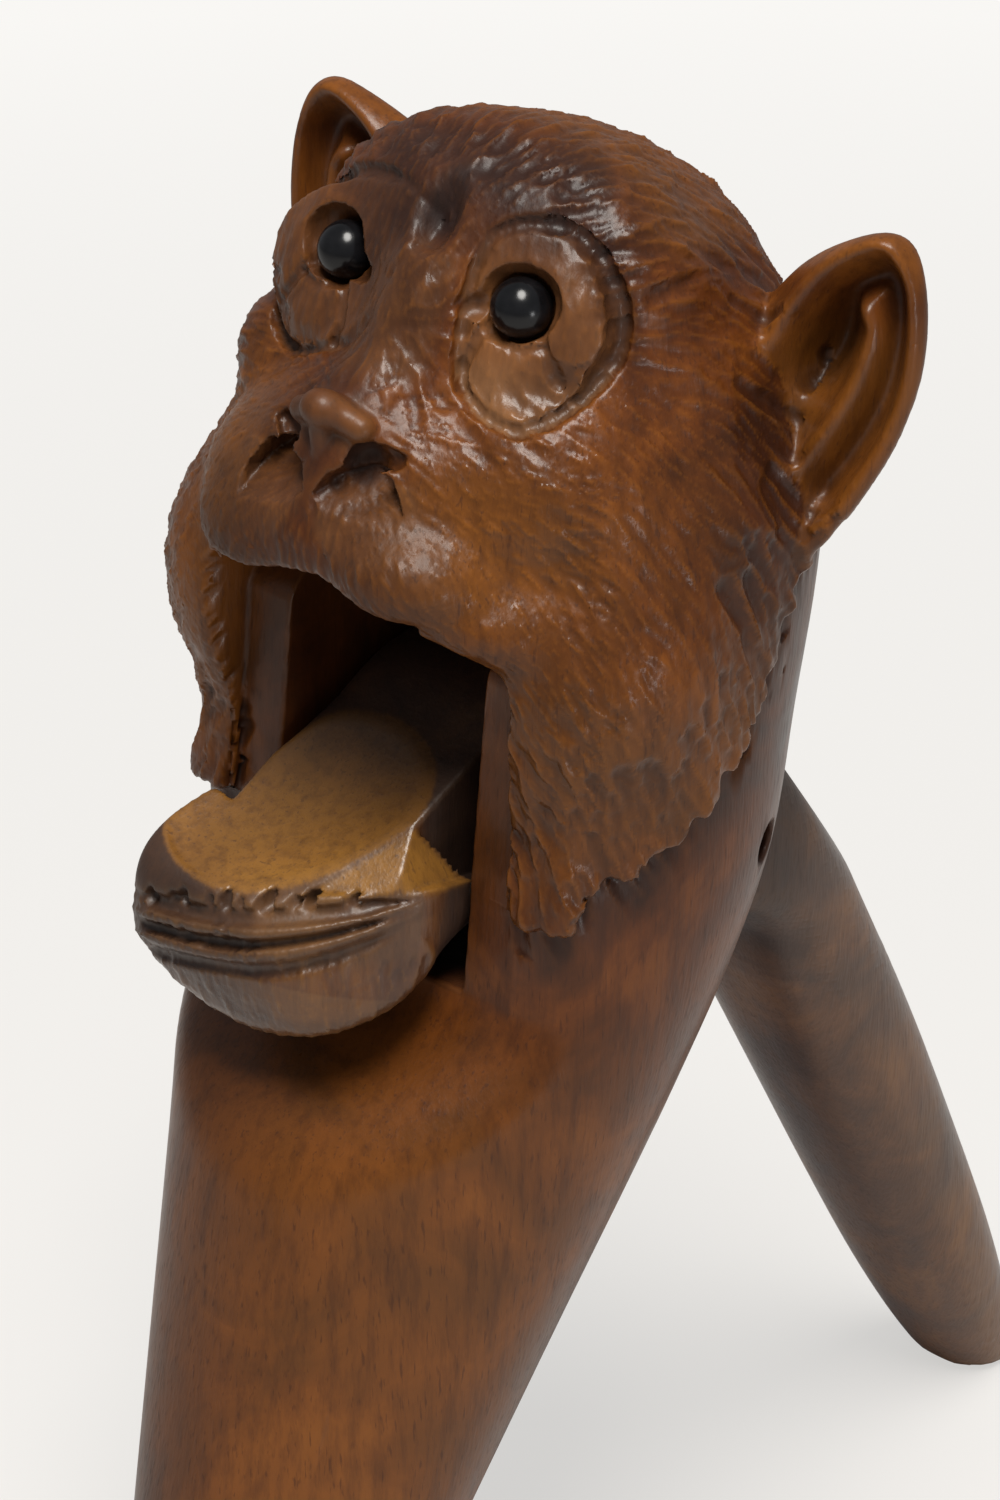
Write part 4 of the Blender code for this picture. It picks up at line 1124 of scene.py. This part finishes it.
def new_effect(name, inputs):
    """A shared shader group with named sockets: its nodes, and what it is given."""
    tree = bpy.data.node_groups.new(name, "ShaderNodeTree")
    for key, value in inputs.items():
        kind = "Vector" if value is None else "Float" if isinstance(value, float) else "Color"
        socket = tree.interface.new_socket(key, in_out="INPUT", socket_type="NodeSocket" + kind)
        if value is not None:
            socket.default_value = value if isinstance(value, float) else (*value, 1)
    tree.interface.new_socket("Color", in_out="OUTPUT", socket_type="NodeSocketColor")
    for key in ("Roughness", "Height"):
        tree.interface.new_socket(key, in_out="OUTPUT", socket_type="NodeSocketFloat")
    return Nodes(tree), tree.nodes.new("NodeGroupInput").outputs


def carved_wood_effect():
    """Stained wood, worn light on its edges, with painted shade in its cuts and hollows and painted sheen
    where pale.
    """
    nodes, given = new_effect("carved_wood", {"Place": None, **HEAD_WOOD, **dict.fromkeys(WOOD_READS, 0.0)})
    along = nodes.stretch(given["Place"], (1.0, 1.0, 0.14))
    mottle = nodes.noise(given["Place"], given["Mottle Size"], 5.0, 0.6, 0.6)
    clouds = nodes.noise(nodes.stretch(given["Place"], (1.0, 1.0, 0.5)), 26.0, 3.0)
    grain = nodes.noise(along, given["Grain Size"], 4.0, 0.65)
    fleck = nodes.noise(along, 2600.0, 2.0)
    warm = nodes.maths("MULTIPLY", given["Honey"], nodes.span(clouds, 0.3, 0.6, 0.45, 1.0))
    colour = nodes.mix(nodes.span(mottle, 0.36, 0.62), given["Deep"], given["Mid"])
    for share, tone in (
            (nodes.maths("ADD", warm, nodes.span(mottle, 0.55, 0.8, 0.0, 0.35)), "Light"),
            (nodes.span(grain, 0.45, 0.75, 0.0, 0.55), "Deep"),
            (nodes.span(fleck, 0.60, 0.72, 0.0, 0.5), "Deep"),
            # painted highlight and sheen, with some rubbed wear
            (nodes.maths("MULTIPLY", given["Polish_And_Sheen"], nodes.span(mottle, 0.35, 0.6, 0.15, 0.65)), "Pale"),
            # painted shade in the gouge cuts
            (nodes.maths("MULTIPLY", given["Stroke"], 0.5), "Deep"),
            (nodes.maths("MULTIPLY", given["Edge"], 0.28), "Light"),
            # painted shade in the hollows, and darker stain with painted shade where the dark value asks
            (nodes.maths("MULTIPLY", given["Hollow"], nodes.span(mottle, 0.3, 0.7, 0.9, 0.55)), "Stain_And_Shade"),
            (nodes.maths("MULTIPLY", given["Dark"], nodes.span(clouds, 0.25, 0.6, 1.0, 0.55)), "Stain_And_Shade")):
        colour = nodes.mix(share, colour, given[tone])
    dull = nodes.maths("MULTIPLY", nodes.maths("MAXIMUM", given["Hollow"], given["Dark"]), 0.3)
    rough = nodes.maths("ADD", nodes.span(mottle, 0.3, 0.7, 0.27, 0.38), dull)
    rough = nodes.maths("SUBTRACT", rough, nodes.maths("MULTIPLY", given["Polish_And_Sheen"], 0.06))
    rough = nodes.maths("ADD", rough, nodes.span(fleck, 0.5, 0.8, 0.0, 0.12))
    height = nodes.maths("ADD", nodes.maths("MULTIPLY", grain, 0.5), nodes.maths("MULTIPLY", fleck, 0.5))
    return nodes.give(colour, rough, height)


def speckle_effect():
    """Fine uneven specks between two tones, with a roughness to match."""
    nodes, given = new_effect("speckle", {"Place": None, **DARK_IRON})
    specks = nodes.noise(given["Place"], given["Size"], 4.0, 0.6)
    share = nodes.span(specks, 0.35, 0.7)
    spread = nodes.maths("MULTIPLY", nodes.maths("SUBTRACT", given["Rough"], given["Smooth"]), share)
    rough = nodes.maths("ADD", given["Smooth"], spread)
    return nodes.give(nodes.mix(share, given["One"], given["Two"]), rough, specks)


def new_material(name, effect, values, bump, finish, reads=()):
    """A piece's own material: the shared effect with the piece's values and what it reads from the mesh."""
    material = bpy.data.materials.new(name)
    material.use_nodes = True
    nodes = Nodes(material.node_tree)
    placed = nodes.new("ShaderNodeGroup")
    placed.node_tree = effect
    nodes.put(placed.inputs["Place"], nodes.new("ShaderNodeTexCoord").outputs["Object"])
    for key in reads:
        reader = nodes.new("ShaderNodeAttribute")
        reader.attribute_name = key.lower()
        nodes.put(placed.inputs[key], reader.outputs["Fac"])
    for key, value in values.items():
        placed.inputs[key].default_value = value if isinstance(value, float) else (*value, 1)
    strength, height = bump
    relief = nodes.new("ShaderNodeBump", {"Strength": strength, "Distance": height,
                                          "Height": placed.outputs["Height"]})
    shader = nodes.tree.nodes["Principled BSDF"]
    shown = {"Base Color": placed.outputs["Color"], "Roughness": placed.outputs["Roughness"],
             "Normal": relief.outputs["Normal"]}
    for key, value in {**shown, **finish}.items():
        nodes.put(shader.inputs[key], value)
    return material


def oiled(gloss):
    return {"Specular IOR Level": gloss, "Coat Weight": 0.06, "Coat Roughness": 0.14}


# Camera, light and floor

SKY_TONE = (0.91, 0.95, 1.0, 1)
SKY_STRENGTH = 0.30
BACKDROP_TONE = (0.945, 0.93, 0.905, 1)
FLOOR_TONE = (0.68, 0.66, 0.64, 1)
FLOOR_HALF = 6.0
GLOW_START, GLOW_FULL, GLOW_LEAST = 0.10, 0.6, 0.62

CAMERA_PLACE = (0.25813, -0.29880, 0.31176)
CAMERA_RIGHT = (0.736, 0.67698, 0.0)
CAMERA_UP = (-0.30967, 0.33667, 0.88925)
CAMERA_BACK = (0.602, -0.65449, 0.45743)
CAMERA_LENS = 103.2
CAMERA_SENSOR = 36.0


def add_camera():
    camera = add_object("camera", bpy.data.cameras.new("camera"))
    turn = Matrix((CAMERA_RIGHT, CAMERA_UP, CAMERA_BACK)).transposed().to_4x4()
    camera.matrix_world = Matrix.Translation(CAMERA_PLACE) @ turn
    camera.data.lens = CAMERA_LENS
    camera.data.sensor_width = CAMERA_SENSOR
    camera.data.clip_end = 20.0
    bpy.context.scene.camera = camera


def add_lamp(name, place, aim, size, power, colour=(1.0, 1.0, 1.0)):
    data = bpy.data.lights.new(name, "AREA")
    data.shape = "ELLIPSE"
    data.size, data.size_y = size
    data.energy = power
    data.color = colour
    way = Vector(aim) - Vector(place)
    lamp = add_object(name, data)
    lamp.matrix_world = Matrix.Translation(place) @ way.to_track_quat("-Z", "Y").to_matrix().to_4x4()


def add_floor():
    """Pale paper that takes the shadow, and brightens into the backdrop away from the piece."""
    mesh = bpy.data.meshes.new("floor")
    corners = [(FLOOR_HALF * x, FLOOR_HALF * y, 0) for x, y in ((-1, -1), (1, -1), (1, 1), (-1, 1))]
    mesh.from_pydata(corners, [], [(0, 1, 2, 3)])
    floor = add_object("floor", mesh)
    material = bpy.data.materials.new("pale_paper")
    material.use_nodes = True
    nodes = Nodes(material.node_tree)
    shader = nodes.tree.nodes["Principled BSDF"]
    shader.inputs["Base Color"].default_value = FLOOR_TONE
    shader.inputs["Roughness"].default_value = 0.9
    glow = nodes.new("ShaderNodeEmission", {"Color": BACKDROP_TONE})
    away = nodes.new("ShaderNodeVectorMath")
    away.operation = "LENGTH"
    nodes.put(away.inputs[0], nodes.new("ShaderNodeTexCoord").outputs["Object"])
    far = nodes.span(away.outputs["Value"], GLOW_START, GLOW_FULL, GLOW_LEAST, 1.0)
    seen = nodes.maths("MULTIPLY", far, nodes.new("ShaderNodeLightPath").outputs["Is Camera Ray"])
    mixed = nodes.new("ShaderNodeMixShader", {0: seen, 1: shader.outputs[0], 2: glow.outputs[0]})
    nodes.put(nodes.tree.nodes["Material Output"].inputs["Surface"], mixed.outputs["Shader"])
    mesh.materials.append(material)


def add_world():
    """A soft studio light, and a pale backdrop where the camera looks past the floor."""
    world = bpy.data.worlds.new("studio")
    bpy.context.scene.world = world
    world.use_nodes = True
    nodes = Nodes(world.node_tree)
    soft = nodes.tree.nodes["Background"]
    soft.inputs["Color"].default_value = SKY_TONE
    soft.inputs["Strength"].default_value = SKY_STRENGTH
    backdrop = nodes.new("ShaderNodeBackground", {"Color": BACKDROP_TONE})
    seen = nodes.new("ShaderNodeLightPath").outputs["Is Camera Ray"]
    mixed = nodes.new("ShaderNodeMixShader", {0: seen, 1: soft.outputs[0], 2: backdrop.outputs[0]})
    nodes.put(nodes.tree.nodes["World Output"].inputs["Surface"], mixed.outputs[0])


def main():
    carved_wood, specks = carved_wood_effect(), speckle_effect()
    skin = whole_head()
    masks = head_masks(skin)
    cut_head(skin, masks)
    head = finish_skin(skin, "carved_head", "stained_wood", *paint_head(skin, masks))
    head.data.materials.append(
        new_material("varnished_wood", carved_wood, HEAD_WOOD, WOOD_BUMP, oiled(0.22), WOOD_READS))
    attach(head, "head")
    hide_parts("head_handle")
    skin = whole_lever()
    cut_lever(skin)
    lever = finish_skin(skin, "carved_lever", "lever_wood", *paint_lever(skin))
    lever.data.materials.append(
        new_material("varnished_lever", carved_wood, LEVER_WOOD, WOOD_BUMP, oiled(0.42), WOOD_READS))
    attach(lever, "lever")
    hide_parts("jaw_lever")
    glass = new_material("eye_glass", specks, EYE_GLASS, GLASS_BUMP, {"Specular IOR Level": 0.30})
    for side, name in ((1, "left_eye"), (-1, "right_eye")):
        eye = bead(side, name + "_bead")
        eye.data.materials.append(glass)
        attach(eye, "head")
        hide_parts(name)
    iron = new_material("dark_iron", specks, DARK_IRON, IRON_BUMP, {"Metallic": 1.0})
    for name in ("pivot_pin", "left_eye_wire", "right_eye_wire"):
        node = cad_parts[name]
        node.data.materials.clear()
        node.data.materials.append(iron)
    add_floor()
    add_world()
    add_lamp("overhead", (0.20, -0.22, 0.92), (0, 0, 0.14), (0.36, 0.50), 10.5, (1.0, 0.97, 0.92))
    add_lamp("side", (0.85, -0.13, 0.10), (0, 0, 0.12), (0.14, 0.14), 0.8)
    add_camera()
    bpy.context.scene.view_settings.view_transform = "Standard"


main()
